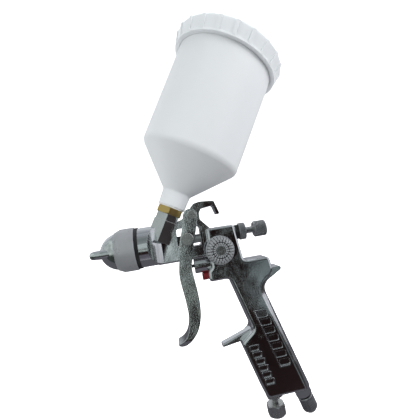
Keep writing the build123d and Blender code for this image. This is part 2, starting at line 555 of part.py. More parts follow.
# ==== spray head ======================================================================================
def spray_head():
    """Seal band, retaining ring, air cap, nozzle, baffle and gasket."""
    band_radius = BARREL_RADIUS + SEAL_BAND_RISE
    keep("barrel_seal_band", tube(spray_axis, ring_back, BARREL_FRONT, band_radius, nose_radius))

    ring = turned(spray_axis, (RING_FRONT, 0), (RING_FRONT, ring_radius - RING_CHAMFER),
                  (RING_FRONT + RING_CHAMFER_LENGTH, ring_radius), (ring_back - 0.6, ring_radius),
                  (ring_back - 0.1, ring_radius - 0.5), (ring_back - 0.1, 0))
    ring = ring - rod(spray_axis, RING_FRONT - 1, RING_FRONT + RING_LIP + 1, lip_radius)
    ring = ring - rod(spray_axis, RING_FRONT + RING_LIP, NOSE_FRONT, flange_radius + RUN_GAP)
    ring = ring - rod(spray_axis, NOSE_FRONT - 1, ring_back + 1, nose_radius + RUN_GAP)
    keep("air_cap_retaining_ring", ring)

    neck = lip_radius - RUN_GAP
    flange_front = RING_FRONT + RING_LIP + SEAT_GAP
    flange_back = flange_front + CAP_FLANGE
    quarter = (CAP_FACE * 0.55 + RING_FRONT * 0.45, CAP_FACE_RADIUS * 0.28 + neck * 0.72)
    shell = make_face(
        Polyline((CAP_FACE, 0), (CAP_FACE, CAP_FACE_RADIUS))
        + ThreePointArc((CAP_FACE, CAP_FACE_RADIUS), quarter, (RING_FRONT - 0.4, neck))
        + Polyline((RING_FRONT - 0.4, neck), (flange_front, neck), (flange_front, flange_radius),
                   (flange_back, flange_radius), (flange_back, 0), (CAP_FACE, 0))
    )
    cap = revolve(shell, Axis.X)
    hollow = make_face(Polyline(
        (CAP_FACE + CAP_WALL, 0), (CAP_FACE + CAP_WALL, CAP_FACE_RADIUS),
        (quarter[0] + CAP_WALL, quarter[1] - CAP_WALL),
        (RING_FRONT, neck - CAP_WALL), (flange_back + 1, neck - CAP_WALL), (flange_back + 1, 0), close=True))
    horns = []
    air_holes = []
    for way in (-1, 1):
        horn_axis = Plane(origin=(0, way * HORN_OFFSET, 0), x_dir=(0, 1, 0), z_dir=(1, 0, 0))
        nib = turned(horn_axis, (HORN_TIP, 0), (HORN_TIP, HORN_RADIUS * 0.45),
                     (HORN_TIP + 1.2, HORN_RADIUS * 0.8), (HORN_TIP + 3.6, HORN_RADIUS * 0.92),
                     (HORN_TIP + 10, HORN_RADIUS), (quarter[0] + 4, HORN_RADIUS), (quarter[0] + 4, 0))
        horns.append(nib)
        air_holes.append(rod(horn_axis, HORN_TIP + 5, RING_FRONT, 1.5))
        jet = Plane(origin=(HORN_TIP + 4.4, way * HORN_OFFSET, 0), z_dir=(-0.35, -way, 0))
        air_holes.append(rod(jet, 0, HORN_RADIUS + 3, 0.8))
        small = Plane(origin=(CAP_FACE, 0, way * (CAP_HOLE_RADIUS + 2.2)), x_dir=(0, 1, 0), z_dir=(1, 0, 0))
        air_holes.append(rod(small, -2, CAP_WALL + 1, 0.4))
    cap = cap + horns[0] + horns[1]
    cap = cap - revolve(hollow, Axis.X)
    cap = cap - rod(spray_axis, CAP_FACE - 1, CAP_FACE + CAP_WALL + 1, CAP_HOLE_RADIUS)
    for hole in air_holes:
        cap = cap - hole
    keep("air_cap", cap)

    nozzle = turned(spray_axis, (NOZZLE_TIP, 0), (NOZZLE_TIP, NOZZLE_TIP_RADIUS - 0.4),
                    (NOZZLE_TIP + 0.6, NOZZLE_TIP_RADIUS), (CAP_FACE + CAP_WALL + 1, NOZZLE_TIP_RADIUS),
                    (NOZZLE_HEX_FRONT, NOZZLE_ROOT_RADIUS), (NOZZLE_HEX_BACK, NOZZLE_ROOT_RADIUS),
                    (NOZZLE_HEX_BACK, NOZZLE_THREAD_RADIUS), (NOZZLE_THREAD_BACK, NOZZLE_THREAD_RADIUS),
                    (NOZZLE_THREAD_BACK, 0))
    nozzle = nozzle + hexagon(spray_axis, NOZZLE_HEX_FRONT, NOZZLE_HEX_BACK, NOZZLE_HEX)
    taper = turned(spray_axis, (NOZZLE_TIP - 1, 0), (NOZZLE_TIP - 1, NOZZLE_HOLE_RADIUS),
                   (NOZZLE_TIP + 1, NOZZLE_HOLE_RADIUS), (NOZZLE_HEX_FRONT, FLUID_BORE),
                   (NOZZLE_THREAD_BACK + 1, FLUID_BORE), (NOZZLE_THREAD_BACK + 1, 0))
    keep("fluid_nozzle", nozzle - taper)

    baffle_back = NOZZLE_HEX_BACK + BAFFLE_THICKNESS
    nozzle_hole = NOZZLE_THREAD_RADIUS + THREAD_GAP
    baffle = tube(spray_axis, NOZZLE_HEX_BACK, baffle_back, pocket_radius - SEAT_GAP, nozzle_hole)
    ring_middle = (NOZZLE_THREAD_RADIUS + pocket_radius) / 2
    hole_axis = Plane(origin=(0, 0, ring_middle), x_dir=(0, 1, 0), z_dir=(1, 0, 0))
    for i in range(BAFFLE_HOLES):
        turn = Rot(360 / BAFFLE_HOLES * i, 0, 0)
        baffle = baffle - turn * rod(hole_axis, NOZZLE_HEX_BACK - 1, baffle_back + 1, BAFFLE_HOLE_RADIUS)
    keep("air_baffle", baffle)
    keep("nozzle_gasket", tube(spray_axis, baffle_back, NOSE_POCKET_BACK, nozzle_hole + 2.4, nozzle_hole))


# ==== needle and fluid control ==========================================================================
def needle_set():
    """Needle with its sleeve, packing, gland, spring, guide, locknut and fluid knob."""
    sleeve_front = CATCH_X + CATCH_RADIUS + SEAT_GAP
    sleeve_back = sleeve_front + SLEEVE_LENGTH
    tip = NOZZLE_TIP - 0.6
    point = tip + (NEEDLE_RADIUS - 0.3) / tan(radians(12))
    needle = turned(spray_axis, (tip, 0), (tip, 0.3), (point, NEEDLE_RADIUS),
                    (NEEDLE_TAIL - 0.5, NEEDLE_RADIUS), (NEEDLE_TAIL, NEEDLE_RADIUS - 0.5), (NEEDLE_TAIL, 0))
    limit = turned(spray_axis, (tip - 1, 0), (tip - 1, NOZZLE_HOLE_RADIUS - SEAT_GAP),
                   (NOZZLE_TIP + 1, NOZZLE_HOLE_RADIUS - SEAT_GAP), (NOZZLE_HEX_FRONT, FLUID_BORE - SEAT_GAP),
                   (NEEDLE_TAIL + 1, FLUID_BORE - SEAT_GAP), (NEEDLE_TAIL + 1, 0))
    keep("fluid_needle", needle & limit)
    keep("needle_sleeve", tube(spray_axis, sleeve_front, sleeve_back, SLEEVE_RADIUS, NEEDLE_RADIUS))

    packing_back = PACKING_FRONT + PACKING_LENGTH
    needle_hole = NEEDLE_RADIUS + RUN_GAP
    keep("needle_packing", tube(spray_axis, PACKING_FRONT, packing_back, GLAND_RADIUS, needle_hole))
    gland = rod(spray_axis, packing_back, WINDOW_FRONT, GLAND_RADIUS)
    hex_front = WINDOW_FRONT + FACE_GAP
    gland = gland + rod(spray_axis, packing_back, hex_front, GLAND_RADIUS - THREAD_GAP)
    gland = gland + hexagon(spray_axis, hex_front, hex_front + GLAND_HEX_LENGTH, GLAND_HEX)
    keep("needle_packing_gland", gland - rod(spray_axis, packing_back - 1, WINDOW_BACK, needle_hole))

    spring_radius = SLEEVE_RADIUS - SPRING_WIRE / 2 - 0.1
    spring_end = KNOB_STEM_FRONT - SEAT_GAP
    keep("needle_spring", spring(spray_axis, sleeve_back + SEAT_GAP, spring_end, spring_radius, 8))

    guide = rod(spray_axis, GUIDE_FRONT, GUIDE_BACK, GUIDE_RADIUS)
    guide = guide + hexagon(spray_axis, guide_seat, GUIDE_BACK, 2 * GUIDE_HEAD_RADIUS)
    guide = guide - rod(spray_axis, GUIDE_FRONT - 1, KNOB_STEM_FRONT, SLEEVE_RADIUS + RUN_GAP)
    keep("needle_guide", guide - rod(spray_axis, GUIDE_FRONT, GUIDE_BACK + 1, KNOB_STEM_RADIUS + RUN_GAP))

    nut_start = GUIDE_BACK + SEAT_GAP
    nut = rod(spray_axis, nut_start, nut_start + LOCKNUT_LENGTH, LOCKNUT_RADIUS)
    nut = chamfer(nut.edges().filter_by(GeomType.CIRCLE), 0.6)
    keep("locknut", nut - rod(spray_axis, GUIDE_BACK - 1, KNOB_FRONT, KNOB_STEM_RADIUS + RUN_GAP))

    knob = rod(spray_axis, KNOB_FRONT, KNOB_BACK, KNOB_RADIUS)
    knob = chamfer(knob.edges().filter_by(GeomType.CIRCLE), 0.9)
    knob = knob + rod(spray_axis, KNOB_STEM_FRONT, KNOB_FRONT + 1, KNOB_STEM_RADIUS)
    tail_room = NEEDLE_TAIL + NEEDLE_TRAVEL + 1.5
    keep("fluid_knob", knob - rod(spray_axis, KNOB_STEM_FRONT - 1, tail_room, NEEDLE_RADIUS + RUN_GAP))


# ==== trigger ===========================================================================================
def edges_along(body, line):
    """The two long outer edges of an extruded plate that follow a line drawn on its middle plane."""
    middle = Vector((line @ 0.5).X, 0, (line @ 0.5).Y)
    return sorted(body.edges(), key=lambda e: (Vector((e @ 0.5).X, 0, (e @ 0.5).Z) - middle).length)[:2]


def trigger_set():
    """Channel-shaped trigger with its pivot screw and nut and the two catch screws."""
    front = Spline((27.4, PIVOT_Z - 0.5), (25.4, 13), (22.6, 4.5), (18.9, -9.8), (18.1, -16), (16.7, -24),
                   (16.2, -33), (17.5, -45), (18.9, -62), (17.8, -76), (14.6, -83.5), (6.4, -88.6))
    back = Spline((12.2, -91.9), (19.2, -87.2), (24.8, -80.6), (28.8, -71), (30.4, -60), (30.1, -46),
                  (28.8, -33), (28.6, -22), (30.7, -14.6), (33.4, -3), (36.4, 6), (40.4, PIVOT_Z - 0.5))
    top = ThreePointArc(back @ 1, (34, PIVOT_Z + 6.0), front @ 0)
    tip = ThreePointArc(front @ 1, (8.4, -91.6), back @ 0)
    shape = make_face(front + tip + back + top)
    body = extrude(side * shape, trigger_outer, both=True)
    body = fillet(edges_along(body, front), TRIGGER_ROUND)
    outer_line = ((16.7, -23), (16.2, -33), (17.5, -45), (18.9, -62), (17.8, -74))
    inside = Spline(*[(x + TRIGGER_WALL, z) for x, z in outer_line])
    room = make_face(Polyline(inside @ 0, (inside @ 0 + Vector(0, 1.5)), (inside @ 0 + Vector(-12, 1.5)),
                              (-5, 40), (60, 40), (60, -84), (22, -80.5), inside @ 1) + inside)
    body = body - extrude(side * room, trigger_inner, both=True)
    outline = Plane.YZ * make_face(FilletPolyline(
        (-trigger_outer, 40), (trigger_outer, 40), (trigger_outer, -93), (-trigger_outer, -93),
        radius=[0, 0, TRIGGER_TOE, TRIGGER_TOE], close=True))
    body = body & extrude(outline, 60)
    body = body - rod(pivot_axis, -20, 20, PIVOT_RADIUS + RUN_GAP) - rod(catch_axis, -20, 20, CATCH_RADIUS)
    keep("trigger", body)

    head = trigger_outer + FACE_GAP
    screw = rod(pivot_axis, -trigger_outer - 3.2, head, PIVOT_RADIUS)
    cheese = rod(pivot_axis, head, head + HEAD_THICKNESS, PIVOT_HEAD_RADIUS)
    cheese = chamfer(cheese.edges().filter_by(GeomType.CIRCLE).group_by(Axis.Y)[0], 0.5)
    slot = Location(pivot_axis) * Pos(0, 0, head + HEAD_THICKNESS) * Box(2 * PIVOT_HEAD_RADIUS + 1, 1.0, 1.6)
    keep("pivot_screw", screw + cheese - slot)
    nut = hexagon(pivot_axis, -head - 2.6, -head, 2 * PIVOT_HEAD_RADIUS)
    keep("pivot_nut", nut - rod(pivot_axis, -head - 4, -head + 1, PIVOT_RADIUS))

    screws = []
    for way in (-1, 1):
        pin = rod(catch_axis, way * CATCH_INNER, way * trigger_outer, CATCH_RADIUS)
        top_face = trigger_outer + HEAD_THICKNESS
        cap = rod(catch_axis, way * trigger_outer, way * top_face, CATCH_HEAD_RADIUS)
        cap = chamfer(cap.edges().filter_by(GeomType.CIRCLE).sort_by(Axis.Y)[-1 if way < 0 else 0], 0.6)
        notch = Location(catch_axis) * Pos(0, 0, way * top_face) * Box(2 * CATCH_HEAD_RADIUS + 1, 1.2, 1.4)
        screws.append(pin + cap - notch)
    keep("needle_catch_screws", *screws)


# ==== air valve =========================================================================================
def valve_set():
    """Air valve in the block: stem and disc, seat, packing gland, spring and the gallery plug."""
    seat_back = VALVE_SEAT_FRONT + VALVE_SEAT_LENGTH
    disc_front = seat_back + SEAT_GAP
    disc_back = disc_front + VALVE_DISC
    stem = rod(valve_axis, VALVE_STEM_FRONT, disc_front, VALVE_STEM_RADIUS)
    stem = chamfer(stem.edges().filter_by(GeomType.CIRCLE).sort_by(Axis.X)[0], 0.4)
    keep("air_valve_stem", stem + rod(valve_axis, disc_front, disc_back + 3, VALVE_TAIL_RADIUS))
    keep("air_valve_disc", tube(valve_axis, disc_front, disc_back, VALVE_DISC_RADIUS, VALVE_TAIL_RADIUS))
    seat = tube(valve_axis, VALVE_SEAT_FRONT, seat_back, VALVE_CHAMBER_RADIUS, VALVE_SEAT_HOLE)
    keep("air_valve_seat", seat)
    gland_back = VALVE_BOSS_FRONT + VALVE_GLAND_LENGTH
    stem_hole = VALVE_STEM_RADIUS + RUN_GAP
    packing_radius = VALVE_CHAMBER_RADIUS - 1.2
    gland = tube(valve_axis, VALVE_BOSS_FRONT, gland_back, VALVE_CHAMBER_RADIUS, stem_hole)
    groove = tube(valve_axis, gland_back - 3, gland_back + 1, packing_radius, VALVE_STEM_RADIUS)
    keep("air_valve_gland", gland - groove)
    keep("air_valve_packing", tube(valve_axis, gland_back - 3, gland_back, packing_radius, stem_hole))
    spring_end = VALVE_CHAMBER_BACK - SEAT_GAP
    keep("air_valve_spring", spring(valve_axis, disc_back + SEAT_GAP, spring_end, VALVE_DISC_RADIUS - 0.6, 8))
    plug_axis = Plane(origin=(0, 0, -PLUG_DROP), x_dir=(0, 1, 0), z_dir=(1, 0, 0))
    plug = rod(plug_axis, RAIL_FRONT - 5.2, RAIL_FRONT, PLUG_RADIUS)
    keep("gallery_plug", chamfer(plug.edges().filter_by(GeomType.CIRCLE).sort_by(Axis.X)[0], 0.6))


# ==== pattern dial ======================================================================================
def dial_set():
    """Fan-pattern dial on the side of the block: dial, screw, spindle, gland and seal ring."""
    start = half_body + FACE_GAP
    skirt = rod(dial_axis, start, start + DIAL_SKIRT, DIAL_SKIRT_RADIUS)
    skirt = chamfer(skirt.edges().filter_by(GeomType.CIRCLE).sort_by(Axis.Y)[0], 0.8)
    for i in range(DIAL_FLUTES):
        turn = Rot(0, 0, 360 / DIAL_FLUTES * i)
        flute = Pos(DIAL_SKIRT_RADIUS + 0.2, 0, start + DIAL_SKIRT / 2) * Cylinder(0.8, DIAL_SKIRT + 2)
        skirt = skirt - Location(dial_axis) * turn * flute
    face = rod(dial_axis, start + DIAL_SKIRT, start + DIAL_HEIGHT, DIAL_FACE_RADIUS)
    face = chamfer(face.edges().filter_by(GeomType.CIRCLE).sort_by(Axis.Y)[0], 1.0)
    dial = skirt + face
    screw_seat = start + DIAL_HEIGHT - 1.4
    dial = dial - rod(dial_axis, screw_seat, start + DIAL_HEIGHT + 1, DIAL_SCREW_RADIUS + 0.4)
    dial = dial - rod(dial_axis, start - 1, screw_seat + 1, 2.0)
    keep("pattern_dial", dial)
    top = start + DIAL_HEIGHT + 0.8
    screw = rod(dial_axis, screw_seat, top, DIAL_SCREW_RADIUS)
    screw = screw + rod(dial_axis, screw_seat - 4.4, screw_seat, 2.0)
    slot = Location(dial_axis) * Pos(0, 0, top) * Rot(0, 0, 20) * Box(2 * DIAL_SCREW_RADIUS + 1, 1.0, 1.8)
    keep("dial_screw", screw - slot)
    inner_end = DIAL_SPINDLE_DEPTH + FACE_GAP
    spindle = rod(dial_axis, inner_end, start, DIAL_SPINDLE_RADIUS)
    keep("dial_spindle", spindle + rod(dial_axis, start, screw_seat - 4.4, 2.0))
    gland_start = half_body - DIAL_GLAND_LENGTH
    spindle_hole = DIAL_SPINDLE_RADIUS + RUN_GAP
    gland = tube(dial_axis, gland_start + 2, half_body, DIAL_GLAND_RADIUS, spindle_hole)
    keep("dial_gland", gland)
    keep("dial_seal_ring", tube(dial_axis, gland_start, gland_start + 2, DIAL_GLAND_RADIUS - 1, spindle_hole))


# ==== cup ===============================================================================================
def cup_set():
    """Brass connector, gasket, strainer, plastic cup, lid and vent plug."""
    base = COLLAR_TOP - CUP_THREAD_DEPTH + 1
    connector = rod(cup_axis, base, COLLAR_TOP, CUP_THREAD_RADIUS)
    connector = connector + rod(cup_axis, COLLAR_TOP, COLLAR_TOP + 1, CUP_THREAD_RADIUS)
    hexagon_low = COLLAR_TOP + SEAT_GAP
    connector = connector + chamfered_hexagon(cup_axis, hexagon_low, connector_top, CONNECTOR_FLATS)
    connector = connector + rod(cup_axis, connector_top, neck_top - 1, CUP_SPIGOT_RADIUS)
    keep("cup_connector", connector - rod(cup_axis, base - 1, neck_top, CUP_BORE))
    keep("cup_gasket", tube(cup_axis, connector_top, neck_bottom, CUP_NECK_RADIUS - 1, CUP_SPIGOT_RADIUS))

    flange = rod(cup_axis, neck_top - 1, neck_top, CUP_SPIGOT_RADIUS - 0.2)
    sock = rod(cup_axis, neck_top - 12, neck_top, CUP_BORE - 0.2)
    strainer = flange + sock - rod(cup_axis, neck_top - 11, neck_top + 1, CUP_BORE - 1.0)
    for i in range(6):
        turn = Rot(0, 0, 60 * i)
        strainer = strainer - Location(cup_axis) * turn * Pos(CUP_BORE, 0, neck_top - 6.5) * Box(3, 1.6, 7)
    keep("cup_strainer", strainer)

    wall = CUP_WALL
    cone = CUP_CONE_TOP - neck_top
    lean = (CUP_RADIUS - CUP_NECK_RADIUS - 0.6) / cone
    drop = wall * (1 + lean**2) ** 0.5 / lean
    cup = turned(cup_axis, (neck_bottom, CUP_SPIGOT_RADIUS), (neck_bottom, CUP_NECK_RADIUS),
                 (neck_top, CUP_NECK_RADIUS + 0.6), (CUP_CONE_TOP, CUP_RADIUS), (CUP_RIM, CUP_RADIUS),
                 (CUP_RIM, CUP_RADIUS - wall), (CUP_CONE_TOP + drop * 0.35, CUP_RADIUS - wall),
                 (neck_top + 2.4, CUP_SPIGOT_RADIUS + 1.2), (neck_top - 0.4, CUP_SPIGOT_RADIUS),
                 rounds=[0, 0.8, 3, CUP_ROUND, 0.5, 0.5, CUP_ROUND - wall, 2, 0])
    bead = LID_BEAD
    inside_wall = CUP_RADIUS - wall / 2
    cup = cup + turned(cup_axis, (LID_BEAD_HEIGHT - bead, inside_wall), (LID_BEAD_HEIGHT, CUP_RADIUS + bead),
                       (LID_BEAD_HEIGHT + bead, inside_wall))
    keep("paint_cup", cup)

    inner = CUP_RADIUS + FACE_GAP
    ceiling = CUP_RIM + FACE_GAP
    lid = turned(cup_axis, (LID_SKIRT, inner), (LID_SKIRT, skirt_radius + 0.7),
                 (LID_SKIRT + LID_FLANGE, skirt_radius + 0.7), (LID_SKIRT + LID_FLANGE, skirt_radius),
                 (LID_TOP - LID_ROUND, lid_radius), (LID_TOP, lid_radius - LID_ROUND - 1), (LID_TOP, 0),
                 (ceiling, 0), (ceiling, inner), (LID_BEAD_HEIGHT + bead + 0.8, inner),
                 (LID_BEAD_HEIGHT, inner + bead + 0.2), (LID_BEAD_HEIGHT - bead - 0.8, inner),
                 rounds=[0, 0.4, 0.4, 0.3, 2.6, 2.6, 0, 0, 0, 0, 0, 0])
    rib_low = LID_SKIRT + LID_FLANGE - 0.5
    rib_high = LID_TOP - LID_ROUND - 0.5
    flare = (lid_radius - skirt_radius) / (LID_TOP - LID_ROUND - LID_SKIRT - LID_FLANGE)
    rib_radius = skirt_radius + LID_RIB_HEIGHT
    points = [(skirt_radius - 1, rib_low), (rib_radius, rib_low),
              (rib_radius + flare * (rib_high - rib_low), rib_high), (skirt_radius - 1, rib_high)]
    for i in range(LID_RIBS):
        rib = extrude(Plane.XZ * make_face(Polyline(*points, close=True)), LID_RIB_WIDTH / 2, both=True)
        lid = lid + Location(cup_axis) * Rot(0, 0, 360 / LID_RIBS * i) * rib
    lid = lid - rod(cup_axis, CUP_RIM, LID_TOP + 1, VENT_RADIUS)
    keep("cup_lid", lid)
    vent = rod(cup_axis, ceiling - 2, LID_TOP, VENT_RADIUS)
    vent = vent + rod(cup_axis, LID_TOP, LID_TOP + VENT_HEAD, VENT_RADIUS + VENT_HEAD)
    vent = vent - rod(cup_axis, ceiling - 3, LID_TOP + 0.4, VENT_RADIUS - 1.4)
    vent = vent - rod(cup_axis, LID_TOP - 1, LID_TOP + VENT_HEAD + 1, VENT_HOLE)
    keep("lid_vent_plug", vent)


# ==== air inlet and regulator ===========================================================================
def inlet_set():
    """Tailpiece screwed into the grip, swivel nut held by a wire clip, and its seal washer."""
    collar_low = INLET_NUT_LENGTH + INLET_NECK
    washer_low = INLET_THREAD_LENGTH + FACE_GAP
    pipe_low = washer_low + INLET_WASHER
    room_top = pipe_low + INLET_FLANGE + FACE_GAP
    flange_radius = INLET_THREAD_RADIUS - 0.5
    tail = rod(inlet_axis, pipe_low, inlet_length, INLET_PIPE_RADIUS)
    tail = tail + rod(inlet_axis, pipe_low, pipe_low + INLET_FLANGE, flange_radius)
    tail = tail + hexagon(inlet_axis, collar_low, inlet_length, 2 * INLET_COLLAR_RADIUS)
    tail = tail + rod(inlet_axis, inlet_length, inlet_length + INLET_TAIL_LENGTH, INLET_TAIL_RADIUS)
    keep("inlet_tailpiece", tail - rod(inlet_axis, 0, inlet_length + INLET_TAIL_LENGTH + 1, INLET_HOLE))

    nut = chamfered_hexagon(inlet_axis, 0, INLET_NUT_LENGTH, INLET_NUT_FLATS)
    nut = nut - rod(inlet_axis, -1, INLET_THREAD_LENGTH, INLET_THREAD_RADIUS)
    nut = nut - rod(inlet_axis, INLET_THREAD_LENGTH, room_top, INLET_THREAD_RADIUS + INLET_ROOM_STEP)
    nut = nut - rod(inlet_axis, 0, INLET_NUT_LENGTH + 1, INLET_PIPE_RADIUS + FACE_GAP)
    dish = turned(inlet_axis, (INLET_NUT_LENGTH - 0.8, 0), (INLET_NUT_LENGTH - 0.8, INLET_PIPE_RADIUS + 0.6),
                  (INLET_NUT_LENGTH, INLET_THREAD_RADIUS), (INLET_NUT_LENGTH, 0))
    keep("inlet_swivel_nut", nut - dish)
    keep("inlet_seal_washer", tube(inlet_axis, washer_low, pipe_low, flange_radius - 0.4, INLET_HOLE))


def regulator_set():
    """Air regulator in the heel of the grip: gland, spindle, ring and knurled knob."""
    gland_top = REGULATOR_BOSS - REGULATOR_GLAND
    gland = rod(regulator_axis, gland_top, REGULATOR_BOSS, REGULATOR_GLAND_RADIUS)
    gland_low = REGULATOR_BOSS + REGULATOR_GROOVE
    gland = gland + rod(regulator_axis, REGULATOR_BOSS, gland_low, REGULATOR_GLAND_RADIUS + 0.4)
    hole = REGULATOR_SPINDLE_RADIUS + RUN_GAP
    keep("regulator_gland", gland - rod(regulator_axis, gland_top - 1, gland_low + 1, hole))
    keep("regulator_seal_ring", tube(regulator_axis, gland_top - 2, gland_top, REGULATOR_GLAND_RADIUS, hole))
    knob_start = gland_low + FACE_GAP
    tip = 6 - REGULATOR_DEPTH
    spindle_end = knob_start + REGULATOR_KNOB / 2
    spindle = turned(regulator_axis, (tip, 0), (tip, 0.6), (tip + 6, REGULATOR_SPINDLE_RADIUS),
                     (spindle_end, REGULATOR_SPINDLE_RADIUS), (spindle_end, 0))
    keep("regulator_spindle", spindle)
    knob = rod(regulator_axis, knob_start, knob_start + REGULATOR_KNOB, REGULATOR_KNOB_RADIUS)
    ends = knob.edges().filter_by(GeomType.CIRCLE).sort_by(Axis.Z)
    knob = chamfer(ends[-1], 0.6)
    knob = fillet(knob.edges().filter_by(GeomType.CIRCLE).sort_by(Axis.Z)[0], 3.0)
    keep("regulator_knob", knob - spindle)


keep("gun_body", gun_body())
spray_head()
needle_set()
trigger_set()
valve_set()
dial_set()
cup_set()
inlet_set()
regulator_set()

to_inlet = Pos(-INLET_BACK, 0, SPRAY_HEIGHT)
for name, shape in pieces.items():
    export_step(to_inlet * shape, f"parts/{name}.step")
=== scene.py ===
"""Looks of the gravity-feed spray gun: finishes, knurled pieces, dial and springs, and the studio."""

import json
from math import acos, atan2, pi, radians, sin

import bmesh
import bpy
import numpy as np
from mathutils import Matrix, Vector

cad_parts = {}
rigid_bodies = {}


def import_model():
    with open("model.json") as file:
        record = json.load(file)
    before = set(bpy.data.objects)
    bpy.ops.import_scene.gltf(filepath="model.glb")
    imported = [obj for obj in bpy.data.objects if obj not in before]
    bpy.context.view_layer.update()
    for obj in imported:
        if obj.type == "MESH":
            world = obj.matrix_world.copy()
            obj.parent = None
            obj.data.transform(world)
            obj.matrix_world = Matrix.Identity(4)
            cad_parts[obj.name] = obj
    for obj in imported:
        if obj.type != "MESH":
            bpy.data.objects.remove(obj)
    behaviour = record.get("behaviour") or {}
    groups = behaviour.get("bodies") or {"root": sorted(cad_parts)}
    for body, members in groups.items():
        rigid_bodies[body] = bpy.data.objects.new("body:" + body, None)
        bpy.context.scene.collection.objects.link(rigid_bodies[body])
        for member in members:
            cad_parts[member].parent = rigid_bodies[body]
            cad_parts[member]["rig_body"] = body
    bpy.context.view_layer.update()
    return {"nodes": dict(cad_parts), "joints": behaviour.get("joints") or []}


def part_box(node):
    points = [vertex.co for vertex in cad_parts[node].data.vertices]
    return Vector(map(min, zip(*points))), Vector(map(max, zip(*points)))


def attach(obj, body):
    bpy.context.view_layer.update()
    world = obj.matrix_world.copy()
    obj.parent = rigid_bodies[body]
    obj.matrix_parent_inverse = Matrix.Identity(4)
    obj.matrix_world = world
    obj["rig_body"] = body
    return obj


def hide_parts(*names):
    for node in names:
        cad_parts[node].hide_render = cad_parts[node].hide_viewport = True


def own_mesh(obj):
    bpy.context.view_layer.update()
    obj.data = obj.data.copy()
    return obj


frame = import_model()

MM = 0.001
joints = {j["name"]: j for j in frame["joints"]}


# ---- places, read from the frame ------------------------------------------------------------------
def axis_of(joint):
    """Origin and direction of a joint, in metres, as numpy arrays."""
    j = joints[joint]
    way = np.array(j["axis"], float)
    return np.array(j["pos_m"], float), way / np.linalg.norm(way)


head_point, cup_way = axis_of("cup_turn")


def frame_on(origin, way, side=(0.0, 1.0, 0.0)):
    """Origin and unit vectors (u, v, w), with w along the axis and u nearest to the side direction."""
    w = np.array(way, float) / np.linalg.norm(way)
    u = np.array(side, float) - np.dot(side, w) * w
    u = u / np.linalg.norm(u)
    return np.array(origin, float), u, np.cross(w, u), w


# ---- mesh helpers -----------------------------------------------------------------------------------
def mark_raised(mesh, raised=None):
    """Keep a level for every point of a mesh: 0 in grooves, 1 on crests and wherever there is no relief."""
    level = np.ones(len(mesh.vertices)) if raised is None else np.asarray(raised).ravel()
    mesh.attributes.new("raised", "FLOAT", "POINT").data.foreach_set("value", level.astype(np.float32))


def mesh_object(name, points, faces, sharp=40.0, raised=None):
    """Object at the origin from points in metres and a face array; edges over `sharp` degrees stay crisp.

    raised, if given, is 0 in grooves and 1 on crests, kept as a point attribute for the finish to use.
    """
    mesh = bpy.data.meshes.new(name)
    mesh.from_pydata(np.asarray(points, float).tolist(), [], np.asarray(faces).tolist())
    mark_raised(mesh, raised)
    tidy = bmesh.new()
    tidy.from_mesh(mesh)
    bmesh.ops.remove_doubles(tidy, verts=tidy.verts, dist=1e-6)
    bmesh.ops.recalc_face_normals(tidy, faces=tidy.faces)
    tidy.to_mesh(mesh)
    tidy.free()
    mesh.shade_smooth()
    mesh.set_sharp_from_angle(angle=radians(sharp))
    made = bpy.data.objects.new(name, mesh)
    bpy.context.scene.collection.objects.link(made)
    return made


def grid_faces(rows, columns, wrap_rows=False, wrap_columns=False):
    """Quads of a rows x columns grid of points, joined end to end where a wrap is asked for."""
    r = np.arange(rows if wrap_rows else rows - 1)
    c = np.arange(columns if wrap_columns else columns - 1)
    r, c = np.meshgrid(r, c, indexing="ij")
    r2, c2 = (r + 1) % rows, (c + 1) % columns
    corners = [r * columns + c, r2 * columns + c, r2 * columns + c2, r * columns + c2]
    return np.stack(corners, -1).reshape(-1, 4)


def rounded(outline, closed=False, steps=5):
    """Outline of (along, radius, round) points with each corner replaced by an arc of its round."""
    pts = [np.array(p[:2], float) for p in outline]
    rounds = [p[2] if len(p) > 2 else 0.0 for p in outline]
    out = []
    count = len(pts)
    for i, (p, r) in enumerate(zip(pts, rounds)):
        before, after = pts[i - 1], pts[(i + 1) % count]
        a, b = before - p, after - p
        la, lb = np.linalg.norm(a), np.linalg.norm(b)
        if r <= 0 or la < 1e-9 or lb < 1e-9 or (not closed and i in (0, count - 1)):
            out.append(p)
            continue
        a, b = a / la, b / lb
        half = acos(max(-1.0, min(1.0, float(a @ b)))) / 2
        reach = min(r / np.tan(half), 0.48 * la, 0.48 * lb)
        radius = reach * np.tan(half)
        middle = p + (a + b) / np.linalg.norm(a + b) * radius / sin(half)
        start, end = p + a * reach - middle, p + b * reach - middle
        t0, t1 = atan2(start[1], start[0]), atan2(end[1], end[0])
        turn = (t1 - t0 + pi) % (2 * pi) - pi
        t = t0 + turn * np.linspace(0, 1, steps)
        out.extend(middle + radius * np.stack([np.cos(t), np.sin(t)], 1))
    return np.array(out)


def split_long(outline, longest):
    """The outline with every straight run cut into pieces no longer than `longest`."""
    out = [outline[0]]
    for a, b in zip(outline[:-1], outline[1:]):
        n = max(1, int(np.ceil(np.linalg.norm(b - a) / longest)))
        out.extend(a + (b - a) * k / n for k in range(1, n + 1))
    return np.array(out)


